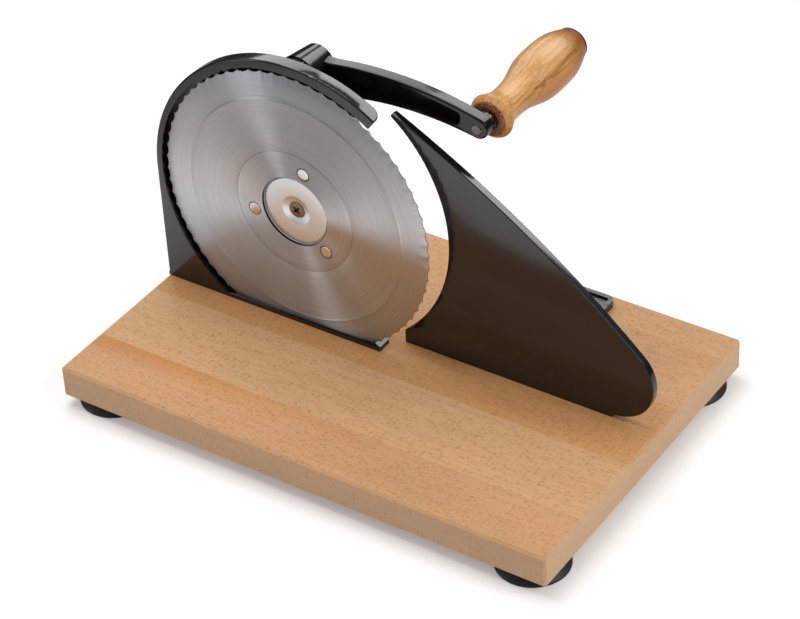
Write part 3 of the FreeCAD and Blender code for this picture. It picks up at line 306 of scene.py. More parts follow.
def makeWorld(plan):
    world = bpy.data.worlds.new("studioWorld")
    bpy.context.scene.world = world
    world.use_nodes = True
    tree = world.node_tree
    tree.nodes.clear()
    path = addNode(tree, "ShaderNodeLightPath")
    seen = addNode(tree, "ShaderNodeMath", {"operation": "MAXIMUM", 0: path.outputs["Is Camera Ray"],
                                            1: path.outputs["Is Transmission Ray"]})
    coords = addNode(tree, "ShaderNodeTexCoord")
    split = addNode(tree, "ShaderNodeSeparateXYZ", {0: coords.outputs["Generated"]})
    height = addNode(tree, "ShaderNodeMapRange",
                     {"Value": split.outputs["Z"], "From Min": -1.0, "From Max": 1.0})
    walls = setStops(addNode(tree, "ShaderNodeValToRGB", {0: height}),
                     [(at, grey(tone)) for at, tone in plan["roomTones"]])
    lit = addNode(tree, "ShaderNodeBackground", {"Color": grey(1.0), "Strength": plan["worldLevel"]})
    room = addNode(tree, "ShaderNodeBackground", {"Color": walls, "Strength": 1.0})
    white = addNode(tree, "ShaderNodeBackground", {"Color": grey(1.0), "Strength": 1.0})
    mirrored = addNode(tree, "ShaderNodeMixShader",
                       {0: path.outputs["Is Glossy Ray"], 1: lit, 2: room})
    both = addNode(tree, "ShaderNodeMixShader", {0: seen, 1: mirrored, 2: white})
    addNode(tree, "ShaderNodeOutputWorld", {"Surface": both})


def makeFloor(plan):
    half = plan["floorSize"] / 2
    mesh = bpy.data.meshes.new("studioFloor")
    corners = [(-half, -half, 0), (half, -half, 0), (half, half, 0), (-half, half, 0)]
    mesh.from_pydata(corners, [], [(0, 1, 2, 3)])
    material, tree = newMaterial("pale studio floor")
    path = addNode(tree, "ShaderNodeLightPath")
    place = addNode(tree, "ShaderNodeTexCoord").outputs["Object"]
    lift = addNode(tree, "ShaderNodeMath", {"operation": "MULTIPLY", 0: path.outputs["Is Camera Ray"],
                                            1: plan["floorLift"]})
    matt = addNode(tree, "ShaderNodeBsdfDiffuse", {"Color": hexColour(plan["floorColour"])})
    glow = addNode(tree, "ShaderNodeEmission", {"Color": grey(1.0), "Strength": lift})
    sheet = addNode(tree, "ShaderNodeAddShader", {0: matt, 1: glow})
    for middle, inner, outer, strength in plan["brightPatches"]:  # the blade mirrors them as fans
        away = addNode(tree, "ShaderNodeVectorMath", {"operation": "DISTANCE", 0: place, 1: middle})
        patch = addNode(tree, "ShaderNodeMapRange",
                        {"Value": away, "From Min": outer, "From Max": inner, "To Max": strength})
        mirrored = addNode(tree, "ShaderNodeMath", {"operation": "MULTIPLY", 0: patch,
                                                    1: path.outputs["Is Glossy Ray"]})
        patchGlow = addNode(tree, "ShaderNodeEmission", {"Color": grey(1.0), "Strength": mirrored})
        sheet = addNode(tree, "ShaderNodeAddShader", {0: sheet, 1: patchGlow})
    reach = addNode(tree, "ShaderNodeVectorMath", {"operation": "LENGTH", 0: place})
    far = addNode(tree, "ShaderNodeMapRange", {"Value": reach, "From Min": plan["sheetEdge"][0],
                                               "From Max": plan["sheetEdge"][1]})
    mirroredFar = addNode(tree, "ShaderNodeMath", {"operation": "MULTIPLY", 0: far,
                                                   1: path.outputs["Is Glossy Ray"]})
    dark = addNode(tree, "ShaderNodeEmission", {"Color": grey(plan["roomFloor"]), "Strength": 1.0})
    total = addNode(tree, "ShaderNodeMixShader", {0: mirroredFar, 1: sheet, 2: dark})
    addNode(tree, "ShaderNodeOutputMaterial", {"Surface": total})
    newPiece("studioFloor", mesh, material)


def makeLamps(plan):
    for name, place, size, watts, lightsObject in plan["lamps"]:
        data = bpy.data.lights.new(name, "AREA")
        data.shape = "RECTANGLE"
        data.size, data.size_y = size
        data.energy = watts
        lamp = bpy.data.objects.new(name, data)
        aim = Vector(plan["lampAim"]) - Vector(place)
        lamp.rotation_euler = aim.to_track_quat("-Z", "Y").to_euler()
        lamp.location = place
        lamp.visible_diffuse = lightsObject
        bpy.context.scene.collection.objects.link(lamp)


bpy.context.scene.view_settings.view_transform = "Standard"
makeWorld(studioPlan)
makeFloor(studioPlan)
makeLamps(studioPlan)
print("studio lit")


def placeInMm(tree):
    coords = addNode(tree, "ShaderNodeTexCoord")
    return addNode(tree, "ShaderNodeMapping",
                   {"Vector": coords.outputs["Object"], "Scale": (1000, 1000, 1000)})


# Noise over a place in mm. Its size is that of one wave: one number, or three along x, y and z.
def addGrain(tree, place, size, detail=2.0, roughness=0.5, distortion=0.0):
    waves = [1 / width for width in (size if isinstance(size, tuple) else (size,) * 3)]
    spread = addNode(tree, "ShaderNodeMapping", {"Vector": place, "Scale": waves})
    return addNode(tree, "ShaderNodeTexNoise",
                   {"Vector": spread, "Scale": 1.0, "Detail": detail, "Roughness": roughness,
                    "Distortion": distortion})


# sizes are in mm along x, y and z
boardWood = {"staveEdges": (-83.2, -30.1, 27.8, 82.0),
             "tones": ("D3A174", "D5A779", "D09A64", "D1A072", "D3A375"),
             "rays": (0.0, 0.0, 1.0, 0.15, 0.0), "ring": "B57B48", "ringGap": 4.2, "pith": (40.0, -75.0),
             "swaySize": (166.7, 33.33, 33.33), "fleck": "A87244", "fleckSize": (3.571, 0.8, 0.8),
             "fibreSize": (28.57, 0.7143, 0.7143), "cloudSize": (125.0, 33.33, 33.33),
             "crossSize": (1.111, 10.0, 1.111), "endGrain": "D6B799", "endSize": (5.0, 0.4545, 4.545),
             "long": "BFA58B", "band": "CB8A4E", "bandStart": (-101.0, -85.0),
             "bandEnds": (60.0, -150.0)}


# Steamed beech, glued from wide staves and oiled: pinkish tan with short brown ray flecks along
# the grain, faint growth rings, one quarter-sawn stave with fine cross lines, satin.
def makeBoardBeech(plan):
    material, tree = newMaterial("oiled steamed beech")
    place = placeInMm(tree)
    split = addNode(tree, "ShaderNodeSeparateXYZ", {0: place})
    across = addNode(tree, "ShaderNodeMapRange", {"Value": split.outputs["Y"], "From Min": boardFront,
                                                  "From Max": boardBack})
    edges = [0.0] + [(y - boardFront) / (boardBack - boardFront) for y in plan["staveEdges"]]
    tones = [hexColour(tone) for tone in plan["tones"]]
    rays = [grey(amount) for amount in plan["rays"]]
    seeds = [(0.15 + 0.2 * k, (0.37 * k) % 1.0, (0.61 * k) % 1.0, 1.0) for k in range(len(edges))]
    tone, ray, seed = [setStops(addNode(tree, "ShaderNodeValToRGB", {0: across}),
                                list(zip(edges, colours)), "CONSTANT") for colours in (tones, rays, seeds)]

    # every stave reads its own stretch of the patterns
    jump = addNode(tree, "ShaderNodeVectorMath", {"operation": "MULTIPLY", 0: seed, 1: (900, 90, 70)})
    own = addNode(tree, "ShaderNodeVectorMath", {"operation": "ADD", 0: place, 1: jump})

    # growth rings about a pith far under the board
    sway = addGrain(tree, own, plan["swaySize"])
    ringPlace = addNode(tree, "ShaderNodeMapping",
                        {"Vector": own, "Scale": (0.0, 1.0, 1.0),
                         "Location": (0, -plan["pith"][0], -plan["pith"][1])})
    reach = addNode(tree, "ShaderNodeVectorMath", {"operation": "LENGTH", 0: ringPlace})
    swayed = addNode(tree, "ShaderNodeMath", {"operation": "MULTIPLY_ADD", 0: sway, 1: 26.0, 2: reach})
    phase = addNode(tree, "ShaderNodeMath",
                    {"operation": "MULTIPLY", 0: swayed, 1: 2 * math.pi / plan["ringGap"]})
    wave = addNode(tree, "ShaderNodeMath", {"operation": "SINE", 0: phase})
    ringDark = addNode(tree, "ShaderNodeMapRange",
                       {"Value": wave, "From Min": 0.1, "From Max": 1.0, "To Max": 0.09})

    # ray flecks, often finer on real beech, are drawn this large to show
    fleckPlace = addNode(tree, "ShaderNodeMapping",
                         {"Vector": own, "Scale": [1 / width for width in plan["fleckSize"]]})
    cells = addNode(tree, "ShaderNodeTexVoronoi", {0: fleckPlace, "Scale": 1.0})
    spindle = addNode(tree, "ShaderNodeMapRange", {"Value": cells, "From Min": 0.46, "From Max": 0.20})
    pick = addNode(tree, "ShaderNodeSeparateXYZ", {0: cells.outputs["Color"]})
    some = addNode(tree, "ShaderNodeMapRange",
                   {"Value": pick, "From Min": 0.15, "From Max": 0.9, "To Max": 0.85})
    fleck = addNode(tree, "ShaderNodeMath", {"operation": "MULTIPLY", 0: spindle, 1: some})

    # long fibres, drawn coarser than real ones to show, soft clouds, and the cross lines of the
    # quarter-sawn stave
    fibre = addGrain(tree, own, plan["fibreSize"], 4.0, 0.6)
    cloud = addGrain(tree, own, plan["cloudSize"], 3.0)
    cross = addGrain(tree, own, plan["crossSize"])
    crossDark = addNode(tree, "ShaderNodeMapRange",
                        {"Value": cross, "From Min": 0.48, "From Max": 0.68, "To Max": 0.34})
    crossAmount = addNode(tree, "ShaderNodeMath", {"operation": "MULTIPLY", 0: crossDark, 1: ray})

    # a warmer band before the first glue line, fading towards the right
    bandNear = addNode(tree, "ShaderNodeMapRange",
                       {"Value": split.outputs["Y"], "From Min": plan["bandStart"][0],
                        "From Max": plan["bandStart"][1]})
    bandStop = addNode(tree, "ShaderNodeMath", {"operation": "LESS_THAN", 0: split.outputs["Y"],
                                                1: plan["staveEdges"][0]})
    bandLeft = addNode(tree, "ShaderNodeMapRange",
                       {"Value": split.outputs["X"], "From Min": plan["bandEnds"][0],
                        "From Max": plan["bandEnds"][1], "To Max": 0.95})
    band = addNode(tree, "ShaderNodeMath", {"operation": "MULTIPLY", 0: bandNear, 1: bandStop})
    band = addNode(tree, "ShaderNodeMath", {"operation": "MULTIPLY", 0: band, 1: bandLeft})

    colour = addNode(tree, "ShaderNodeMix", {"data_type": "RGBA", 0: band, 6: tone,
                                             7: hexColour(plan["band"])})
    for pattern, bright in ((cloud, 1.06), (fibre, 1.05)):
        shade = addNode(tree, "ShaderNodeMapRange", {"Value": pattern, "From Min": 0.3, "From Max": 0.7,
                                                     "To Min": 0.93, "To Max": bright})
        colour = addNode(tree, "ShaderNodeVectorMath", {"operation": "SCALE", 0: colour, "Scale": shade})
    for amount, mark in ((ringDark, "ring"), (crossAmount, "ring"), (fleck, "fleck")):
        colour = addNode(tree, "ShaderNodeMix", {"data_type": "RGBA", 0: amount, 6: colour,
                                                 7: hexColour(plan[mark])})

    # end grain: pinker, with fine lines up the face
    normal = addNode(tree, "ShaderNodeSeparateXYZ",
                     {0: addNode(tree, "ShaderNodeTexCoord").outputs["Normal"]})
    sideways = addNode(tree, "ShaderNodeMath", {"operation": "ABSOLUTE", 0: normal.outputs["X"]})
    isEnd = addNode(tree, "ShaderNodeMapRange", {"Value": sideways, "From Min": 0.6, "From Max": 0.9})
    endLines = addGrain(tree, own, plan["endSize"], 3.0)
    endTone = addNode(tree, "ShaderNodeMapRange", {"Value": endLines, "From Min": 0.3, "From Max": 0.7,
                                                   "To Min": 0.9, "To Max": 1.08})
    endColour = addNode(tree, "ShaderNodeMix", {"data_type": "RGBA", 0: 0.7, 6: tone,
                                                7: hexColour(plan["endGrain"])})
    endColour = addNode(tree, "ShaderNodeMix", {"data_type": "RGBA", 0: ringDark, 6: endColour,
                                                7: hexColour(plan["ring"])})
    endColour = addNode(tree, "ShaderNodeVectorMath",
                        {"operation": "SCALE", 0: endColour, "Scale": endTone})
    # the long sides are paler and greyer than the top
    lengthways = addNode(tree, "ShaderNodeMath", {"operation": "ABSOLUTE", 0: normal.outputs["Y"]})
    isLong = addNode(tree, "ShaderNodeMapRange",
                     {"Value": lengthways, "From Min": 0.6, "From Max": 0.9, "To Max": 0.5})
    colour = addNode(tree, "ShaderNodeMix", {"data_type": "RGBA", 0: isLong, 6: colour,
                                             7: hexColour(plan["long"])})
    colour = addNode(tree, "ShaderNodeMix", {"data_type": "RGBA", 0: isEnd, 6: colour, 7: endColour})
    gloss = addNode(tree, "ShaderNodeMapRange", {"Value": fibre, "From Min": 0.3, "From Max": 0.7,
                                                 "To Min": 0.55, "To Max": 0.70})
    relief = addNode(tree, "ShaderNodeMath", {"operation": "MULTIPLY_ADD", 0: fleck, 1: -0.6, 2: fibre})
    bump = addNode(tree, "ShaderNodeBump", {"Height": relief, "Strength": 0.25, "Distance": 0.00008})
    return closeMaterial(material, {"Base Color": colour, "Roughness": gloss, "Normal": bump,
                                    "Specular IOR Level": 0.16})


# sizes are in mm, and so are the height and the line that the rough skin starts and is full at
enamelPlan = {"name": "black stove enamel", "ior": 1.57, "light": "171516", "dark": "0B0A0A",
              "smooth": 0.09, "rough": 0.15, "peelSize": 1.111, "hazeSize": 33.33, "grainSize": 0.3333,
              "lumpSize": 1.818, "skinBelow": (35.5, 34.5), "skinBehind": (8.5, 10.0)}
lacquerPlan = {**enamelPlan, "name": "black crank lacquer", "ior": 1.42}


# Stove enamel on a casting: black, glossy, with a fine orange peel and a faint haze of dust. Flat
# on the board the skin is left rough from the mould.
def makeEnamel(plan):
    material, tree = newMaterial(plan["name"])
    place = placeInMm(tree)
    split = addNode(tree, "ShaderNodeSeparateXYZ", {0: place})
    peel = addGrain(tree, place, plan["peelSize"])
    haze = addGrain(tree, place, plan["hazeSize"], 4.0)
    grain = addGrain(tree, place, plan["grainSize"])
    lumps = addGrain(tree, place, plan["lumpSize"])
    low = addNode(tree, "ShaderNodeMapRange",
                  {"Value": split.outputs["Z"], "From Min": plan["skinBelow"][0],
                   "From Max": plan["skinBelow"][1]})
    behind = addNode(tree, "ShaderNodeMapRange",
                     {"Value": split.outputs["Y"], "From Min": plan["skinBehind"][0],
                      "From Max": plan["skinBehind"][1]})
    skin = addNode(tree, "ShaderNodeMath", {"operation": "MULTIPLY", 0: low, 1: behind})
    gloss = addNode(tree, "ShaderNodeMapRange", {"Value": haze, "From Min": 0.3, "From Max": 0.7,
                                                 "To Min": plan["smooth"], "To Max": plan["rough"]})
    gloss = addNode(tree, "ShaderNodeMath", {"operation": "MULTIPLY_ADD", 0: skin, 1: 0.1, 2: gloss})
    colour = setStops(addNode(tree, "ShaderNodeValToRGB", {0: grain}),
                      [(0.35, hexColour(plan["dark"])), (0.75, hexColour(plan["light"]))])
    relief = addNode(tree, "ShaderNodeMath", {"operation": "MULTIPLY_ADD", 0: grain, 1: 0.25, 2: peel})
    lumpy = addNode(tree, "ShaderNodeMath", {"operation": "MULTIPLY", 0: lumps, 1: skin})
    relief = addNode(tree, "ShaderNodeMath", {"operation": "MULTIPLY_ADD", 0: lumpy, 1: 30.0, 2: relief})
    bump = addNode(tree, "ShaderNodeBump", {"Height": relief, "Strength": 0.22, "Distance": 0.00006})
    return closeMaterial(material, {"Base Color": colour, "Roughness": gloss, "Normal": bump,
                                    "IOR": plan["ior"]})


# Plain metals by slot, turned or plated. The grain's size is in mm, coarser than the real one so
# that it shows.
metalPlans = {
    "bright_steel": {"name": "polished steel", "light": "E2E1DE", "dark": "C6C4C0",
                     "smooth": 0.12, "rough": 0.22, "grain": 0.25},  # nearly a mirror
    "zinc_steel": {"name": "zinc plated steel", "light": "C9CACA", "dark": "A9ABAD",
                   "smooth": 0.24, "rough": 0.38, "grain": 0.625},  # cool, faintly mottled
    "satin_zinc": {"name": "satin zinc", "light": "E4E7EA", "dark": "D0D4D7",
                   "smooth": 0.28, "rough": 0.38, "grain": 0.3333},  # pale, soft reflections
    "pinion_steel": {"name": "oiled gear steel", "light": "8E8B86", "dark": "6C6965",
                     "smooth": 0.28, "rough": 0.42, "grain": 0.5},  # darkened by the oil
    "spring_steel": {"name": "blued spring steel", "light": "4C4E55", "dark": "35373C",
                     "smooth": 0.22, "rough": 0.34, "grain": 0.5},  # dark, a touch blue
    "bronze": {"name": "sintered bronze", "light": "B08A55", "dark": "8A6638",
               "smooth": 0.36, "rough": 0.52, "grain": 0.2}}  # matt, pores full of oil
axleSteel = {"name": "dark axle steel", "light": "77716B", "dark": "3E3A37",
             "smooth": 0.18, "rough": 0.3, "grain": 1.667}  # smoked, with worn lighter spots


# A plain finish: its grain, drawn out along y, changes the colour, the gloss and the relief a little.
def makeGrained(plan, stretch, roughness, relief, depth, settings):
    material, tree = newMaterial(plan["name"])
    size = plan["grain"]
    grain = addGrain(tree, placeInMm(tree), (size, size * stretch, size), 3.0, roughness)
    colour = setStops(addNode(tree, "ShaderNodeValToRGB", {0: grain}),
                      [(0.3, hexColour(plan["dark"])), (0.7, hexColour(plan["light"]))])
    gloss = addNode(tree, "ShaderNodeMapRange", {"Value": grain, "From Min": 0.3, "From Max": 0.7,
                                                 "To Min": plan["smooth"], "To Max": plan["rough"]})
    bump = addNode(tree, "ShaderNodeBump", {"Height": grain, "Strength": relief, "Distance": depth})
    return closeMaterial(material, {"Base Color": colour, "Roughness": gloss, "Normal": bump, **settings})


def makeMetal(plan):
    return makeGrained(plan, 1 / 0.22, 0.65, 0.1, 0.00002, {"Metallic": 1.0})


# cross is the painted shade in the screw's cross recess; light and dark carry a painted warm reflection
screwPlan = {"light": "9A8570", "dark": "6A5848", "grain": 0.7692, "cross": "1E1915", "front": -8.38,
             "deep": -8.2}


# The hub's screw: dulled steel tinted warm as a painted reflection, with painted shade in its cross
# recess.
def makeDulledScrew(plan):
    material, tree = newMaterial("dulled screw steel")
    place = placeInMm(tree)
    split = addNode(tree, "ShaderNodeSeparateXYZ", {0: place})
    # the cross recess is painted dark as shade
    crossRecessShade = addNode(tree, "ShaderNodeMapRange", {"Value": split.outputs["Y"], "From Min": plan["front"],
                                                   "From Max": plan["deep"]})
    grain = addGrain(tree, place, plan["grain"], 4.0, 0.6)
    colour = setStops(addNode(tree, "ShaderNodeValToRGB", {0: grain}),
                      [(0.35, hexColour(plan["dark"])), (0.65, hexColour(plan["light"]))])
    colour = addNode(tree, "ShaderNodeMix", {"data_type": "RGBA", 0: crossRecessShade, 6: colour,
                                             7: hexColour(plan["cross"])})
    bump = addNode(tree, "ShaderNodeBump", {"Height": grain, "Strength": 0.15, "Distance": 0.00003})
    return closeMaterial(material, {"Base Color": colour, "Normal": bump, "Metallic": 1.0,
                                    "Roughness": 0.36})


# Rubber and plastics by slot, all moulded: a soft sheen over a fine grain, its size in mm.
mouldedPlans = {
    "foot_rubber": {"name": "moulded black rubber", "light": "1D1B1B", "dark": "100F0F", "smooth": 0.34,
                    "rough": 0.5, "grain": 0.8333, "ior": 1.52, "level": 0.5, "depth": 0.00008},
    "black_plastic": {"name": "black moulded plastic", "light": "121111", "dark": "090909", "smooth": 0.42,
                      "rough": 0.55, "grain": 0.4, "ior": 1.49, "level": 0.2, "depth": 0.00005},
    "acetal": {"name": "natural acetal", "light": "EAE8E0", "dark": "DAD7CC", "smooth": 0.32,
               "rough": 0.44, "grain": 1.0, "ior": 1.48, "level": 0.5, "depth": 0.00004}}


def makeMoulded(plan):
    return makeGrained(plan, 1.0, 0.5, 0.3, plan["depth"],
                       {"IOR": plan["ior"], "Specular IOR Level": plan["level"]})


finishes = {"beech": makeBoardBeech(boardWood), "black_enamel": makeEnamel(enamelPlan),
            "dulled_steel": makeDulledScrew(screwPlan)}
finishes.update({slot: makeMetal(plan) for slot, plan in metalPlans.items()})
finishes.update({slot: makeMoulded(plan) for slot, plan in mouldedPlans.items()})
print("plain materials mixed")

bladePlan = {"radius": 95.0, "front": -10.75, "thickness": 1.4, "hole": 23.3, "teeth": 68,
             "toothDepth": 1.3, "bevelStart": 88.0, "bevelDrop": 0.8, "bead": 76.0, "beadHalf": 1.2,
             "beadHeight": 0.35, "step": 41.5, "stepWidth": 0.3, "stepDepth": 0.1, "slices": 8,
             "innerRings": (27.0, 32.0, 37.0), "middleRings": (48.0, 56.0, 65.0), "outerRing": 82.0,
             "backRings": (60.0, 40.0), "edge": 0.15, "rimEdge": 0.05, "dark": "ADAFB2",
             # line is the turned line's tone and also the painted shade round the rivets; shade is painted
             # shade on the hole's cut edge
             "light": "C8CACC", "line": "4E4C4A", "shade": "121110",
             "brushSize": (0.3846, 1.111, 1.0), "grindSize": (12.5, 0.00625, 1.0)}  # mm out, radians round
rivetPlan = {"circle": 30.5, "first": 74.0, "count": 3, "head": 4.1, "shank": 2.5, "front": -10.85,
             "coneEnd": -9.4, "web": -6.75, "gap": (0.65, 0.35),
             "crown": [(0.0, 0.0), (0.01, 2.4), (0.05, 3.5), (0.16, 4.04), (0.3, 4.0)],
             "pressed": [(0.0, 4.4), (0.7, 4.3), (1.2, 3.08), (1.35, 0.0)]}


# Stainless sheet brushed in circles on the spindle; the ground bevel carries marks across it.
def makeBladeSteel(plan, rivets):
    material, tree = newMaterial("brushed stainless blade")
    x, z = axes["cutter"]
    coords = addNode(tree, "ShaderNodeTexCoord")
    local = addNode(tree, "ShaderNodeVectorMath", {"operation": "SUBTRACT", 0: coords.outputs["Object"],
                                                   1: (x * mm, 0, z * mm)})
    flat = addNode(tree, "ShaderNodeVectorMath", {"operation": "MULTIPLY", 0: local, 1: (1000, 0, 1000)})
    reach = addNode(tree, "ShaderNodeVectorMath", {"operation": "LENGTH", 0: flat})
    split = addNode(tree, "ShaderNodeSeparateXYZ", {0: flat})
    angle = addNode(tree, "ShaderNodeMath", {"operation": "ARCTAN2", 0: split.outputs["Z"],
                                             1: split.outputs["X"]})
    # circles, far finer on the real sheet, drawn 0.4 mm apart and broken up slowly round the turn
    around = addNode(tree, "ShaderNodeCombineXYZ", {"X": reach, "Y": angle})
    circles = addGrain(tree, around, plan["brushSize"], 3.0, 0.7)
    marks = addGrain(tree, around, plan["grindSize"])
    onBevel = addNode(tree, "ShaderNodeMapRange", {"Value": reach, "From Min": plan["bevelStart"] - 0.4,
                                                   "From Max": plan["bevelStart"] + 0.2})
    lines = addNode(tree, "ShaderNodeMix", {"data_type": "FLOAT", 0: onBevel, 2: circles, 3: marks})
    colour = setStops(addNode(tree, "ShaderNodeValToRGB", {0: lines}),
                      [(0.3, hexColour(plan["dark"])), (0.7, hexColour(plan["light"]))])
    # the fine turned line halfway out
    fromLine = addNode(tree, "ShaderNodeMath", {"operation": "SUBTRACT", 0: reach, 1: plan["step"]})
    aside = addNode(tree, "ShaderNodeMath", {"operation": "ABSOLUTE", 0: fromLine})
    onLine = addNode(tree, "ShaderNodeMapRange",
                     {"Value": aside, "From Min": 0.4, "From Max": 0.15, "To Max": 0.35})
    # painted shade in the gap round each rivet: the turn is folded into one rivet's share
    share = math.pi / rivets["count"]
    turned = addNode(tree, "ShaderNodeMath",
                     {"operation": "SUBTRACT", 0: angle, 1: math.radians(rivets["first"])})
    folded = addNode(tree, "ShaderNodeMath", {"operation": "WRAP", 0: turned, 1: share, 2: -share})
    along = addNode(tree, "ShaderNodeMath", {"operation": "COSINE", 0: folded})
    over = addNode(tree, "ShaderNodeMath", {"operation": "SINE", 0: folded})
    shareX = addNode(tree, "ShaderNodeMath", {"operation": "MULTIPLY", 0: reach, 1: along})
    shareZ = addNode(tree, "ShaderNodeMath", {"operation": "MULTIPLY", 0: reach, 1: over})
    fromRivet = addNode(tree, "ShaderNodeMath", {"operation": "SUBTRACT", 0: shareX, 1: rivets["circle"]})
    spot = addNode(tree, "ShaderNodeCombineXYZ", {"X": fromRivet, "Y": shareZ})
    spotReach = addNode(tree, "ShaderNodeVectorMath", {"operation": "LENGTH", 0: spot})
    rivetGapShade = addNode(tree, "ShaderNodeMapRange",
                       {"Value": spotReach, "From Min": rivets["head"] + rivets["gap"][0],
                        "From Max": rivets["head"] + rivets["gap"][1], "To Max": 0.85})
    # the turned line keeps its own dark tone; round the rivets the same tone is painted shade
    lineAndGapShadeAmount = addNode(tree, "ShaderNodeMath", {"operation": "MAXIMUM", 0: onLine, 1: rivetGapShade})
    colour = addNode(tree, "ShaderNodeMix", {"data_type": "RGBA", 0: lineAndGapShadeAmount, 6: colour,
                                             7: hexColour(plan["line"])})
    # the cut edge round the hub is painted near black as shade
    holeEdgeShade = addNode(tree, "ShaderNodeMapRange", {"Value": reach, "From Min": plan["hole"] + 0.3,
                                                  "From Max": plan["hole"] + 0.1})
    colour = addNode(tree, "ShaderNodeMix", {"data_type": "RGBA", 0: holeEdgeShade, 6: colour,
                                             7: hexColour(plan["shade"])})
    gloss = addNode(tree, "ShaderNodeMapRange", {"Value": lines, "From Min": 0.3, "From Max": 0.7,
                                                 "To Min": 0.35, "To Max": 0.43})
    # the circular brushing spreads each reflection outwards, so lamps turn into fans
    outwards = addNode(tree, "ShaderNodeVectorMath", {"operation": "NORMALIZE", 0: flat})
    bump = addNode(tree, "ShaderNodeBump", {"Height": lines, "Strength": 0.12, "Distance": 0.00002})
    return closeMaterial(material, {"Base Color": colour, "Roughness": gloss, "Normal": bump,
                                    "Tangent": outwards, "Metallic": 1.0, "Anisotropic": 0.97})


finishes["stainless"] = makeBladeSteel(bladePlan, rivetPlan)


# One tooth's slice of the disc; the tree turns it round the hub.
def makeBladeSector(plan):
    front, back, edge = plan["front"], plan["front"] + plan["thickness"], plan["edge"]
    outline = [(plan["hole"], back - edge), (plan["hole"], front + edge), (plan["hole"] + edge, front)]
    outline += [(radius, front) for radius in plan["innerRings"]]
    for k in range(-2, 3):
        outline.append((plan["step"] + k * plan["stepWidth"] / 2,
                        front + plan["stepDepth"] * (1 - abs(k) / 2)))
    outline += [(radius, front) for radius in plan["middleRings"]]
    for k in range(-3, 4):
        lift = plan["beadHeight"] * math.cos(math.pi * k / 6) ** 2
        outline.append((plan["bead"] + plan["beadHalf"] * k / 3, front - lift))
    outline += [(plan["outerRing"], front), (plan["bevelStart"], front)]
    inner = len(outline)
    # on the bevel the first value is the share of the way out to the wavy rim
    outline += [(t, front + plan["bevelDrop"] * t) for t in (0.35, 0.7, 1.0)]
    outline.append((1.0, back - plan["rimEdge"]))
    outer = len(outline)
    outline += [(radius, back) for radius in (plan["bevelStart"], *plan["backRings"], plan["hole"] + edge)]

    step = 2 * math.pi / plan["teeth"]
    low = plan["radius"] - plan["toothDepth"]
    peak = Vector((plan["radius"], 0.0))
    valley = Vector((low * math.cos(step / 2), low * math.sin(step / 2)))
    after = Vector((plan["radius"] * math.cos(step), plan["radius"] * math.sin(step)))
    sag = valley * 2 - (peak + after) / 2
    shell = bmesh.new()
    columns = []
    for k in range(plan["slices"] + 1):
        t = k / plan["slices"]
        rim = peak * (1 - t) ** 2 + sag * 2 * t * (1 - t) + after * t ** 2
        turn = math.atan2(rim.y, rim.x)
        column = []
        for i, (radius, y) in enumerate(outline):
            if inner <= i < outer:
                radius = plan["bevelStart"] + (rim.length - plan["bevelStart"]) * radius
            column.append(shell.verts.new(((axes["cutter"][0] + radius * math.cos(turn)) * mm, y * mm,
                                           (axes["cutter"][1] + radius * math.sin(turn)) * mm)))
        columns.append(column)
    for a, b in zip(columns, columns[1:]):
        for i in range(len(outline)):
            n = (i + 1) % len(outline)
            shell.faces.new((a[i], b[i], b[n], a[n]))
    mesh = bpy.data.meshes.new("bladeSector")
    shell.to_mesh(mesh)
    shell.free()
    return mesh


# A ring of equal copies about the blade's axis.
def makeBladeRing(node, name, mesh, tree, count, degrees):
    x, z = axes["cutter"]
    values = {"Count": count, "Step": -2 * math.pi / count, "Pivot": (x * mm, 0.0, z * mm),
              "Finish": finishes[slotOfNode[node]]}
    standFor(node, grown(name, mesh, tree, values, degrees))


# Countersunk rivets with a soft crown and a flat pressed tail.
def makeRivet(plan):
    x, z = axes["cutter"]
    turn = math.radians(plan["first"])
    centre = (x + plan["circle"] * math.cos(turn), z + plan["circle"] * math.sin(turn))
    outline = [(plan["front"] + along, radius) for along, radius in plan["crown"]]
    outline += [(plan["coneEnd"], plan["shank"]), (plan["web"], plan["shank"])]
    outline += [(plan["web"] + along, radius) for along, radius in plan["pressed"]]
    return turnedMesh("rivet", outline, centre, 48)


makeBladeRing("blade", "wavyBlade", makeBladeSector(bladePlan), sectorTree, bladePlan["teeth"], 25)
makeBladeRing("blade_rivets", "bladeRivets", makeRivet(rivetPlan), ringTree, rivetPlan["count"], 40)

capPlan = {"outline": [(-7.75, 10.3), (-7.75, 22.4), (-8.75, 22.4), (-9.15, 22.0), (-9.15, 9.8),
                       (-8.85, 8.9), (-8.15, 6.2), (-8.15, 5.7), (-6.85, 3.2), (-6.85, 3.6),
                       (-6.75, 6.8)], "ease": 0.15}


def makeHubCap(plan):
    outline = easedOutline(plan["outline"] + plan["outline"][:1], plan["ease"])
    mesh = turnedMesh("hubCap", outline[1:], axes["cutter"], 96, closed=True)
    smooth(mesh, 30)
    standFor("hub_cap", newPiece("hubCapTurned", mesh, finishes["satin_zinc"]))


makeHubCap(capPlan)
print("blade and hub made")

handlePlan = {"front": 28.05, "length": 92.2, "bore": 4.08, "face": 7.0, "recess": 8.0,
              "recessDepth": 9.0,
              "collar": [(0.0, 10.4), (0.7, 11.3), (1.7, 12.4), (2.8, 13.4), (3.7, 14.0), (4.1, 14.1),
                         (4.7, 14.0), (5.2, 13.3)],
              "outline": [(5.2, 13.3), (7.0, 12.9), (9.0, 12.3), (13.0, 10.97), (17.5, 10.5), (25.0, 10.6),
                          (33.0, 11.5), (40.0, 13.2), (47.0, 15.05), (54.0, 15.95), (62.0, 16.1),
                          (70.0, 15.9), (77.0, 15.2), (83.0, 13.7), (88.0, 12.0), (92.2, 10.4)]}
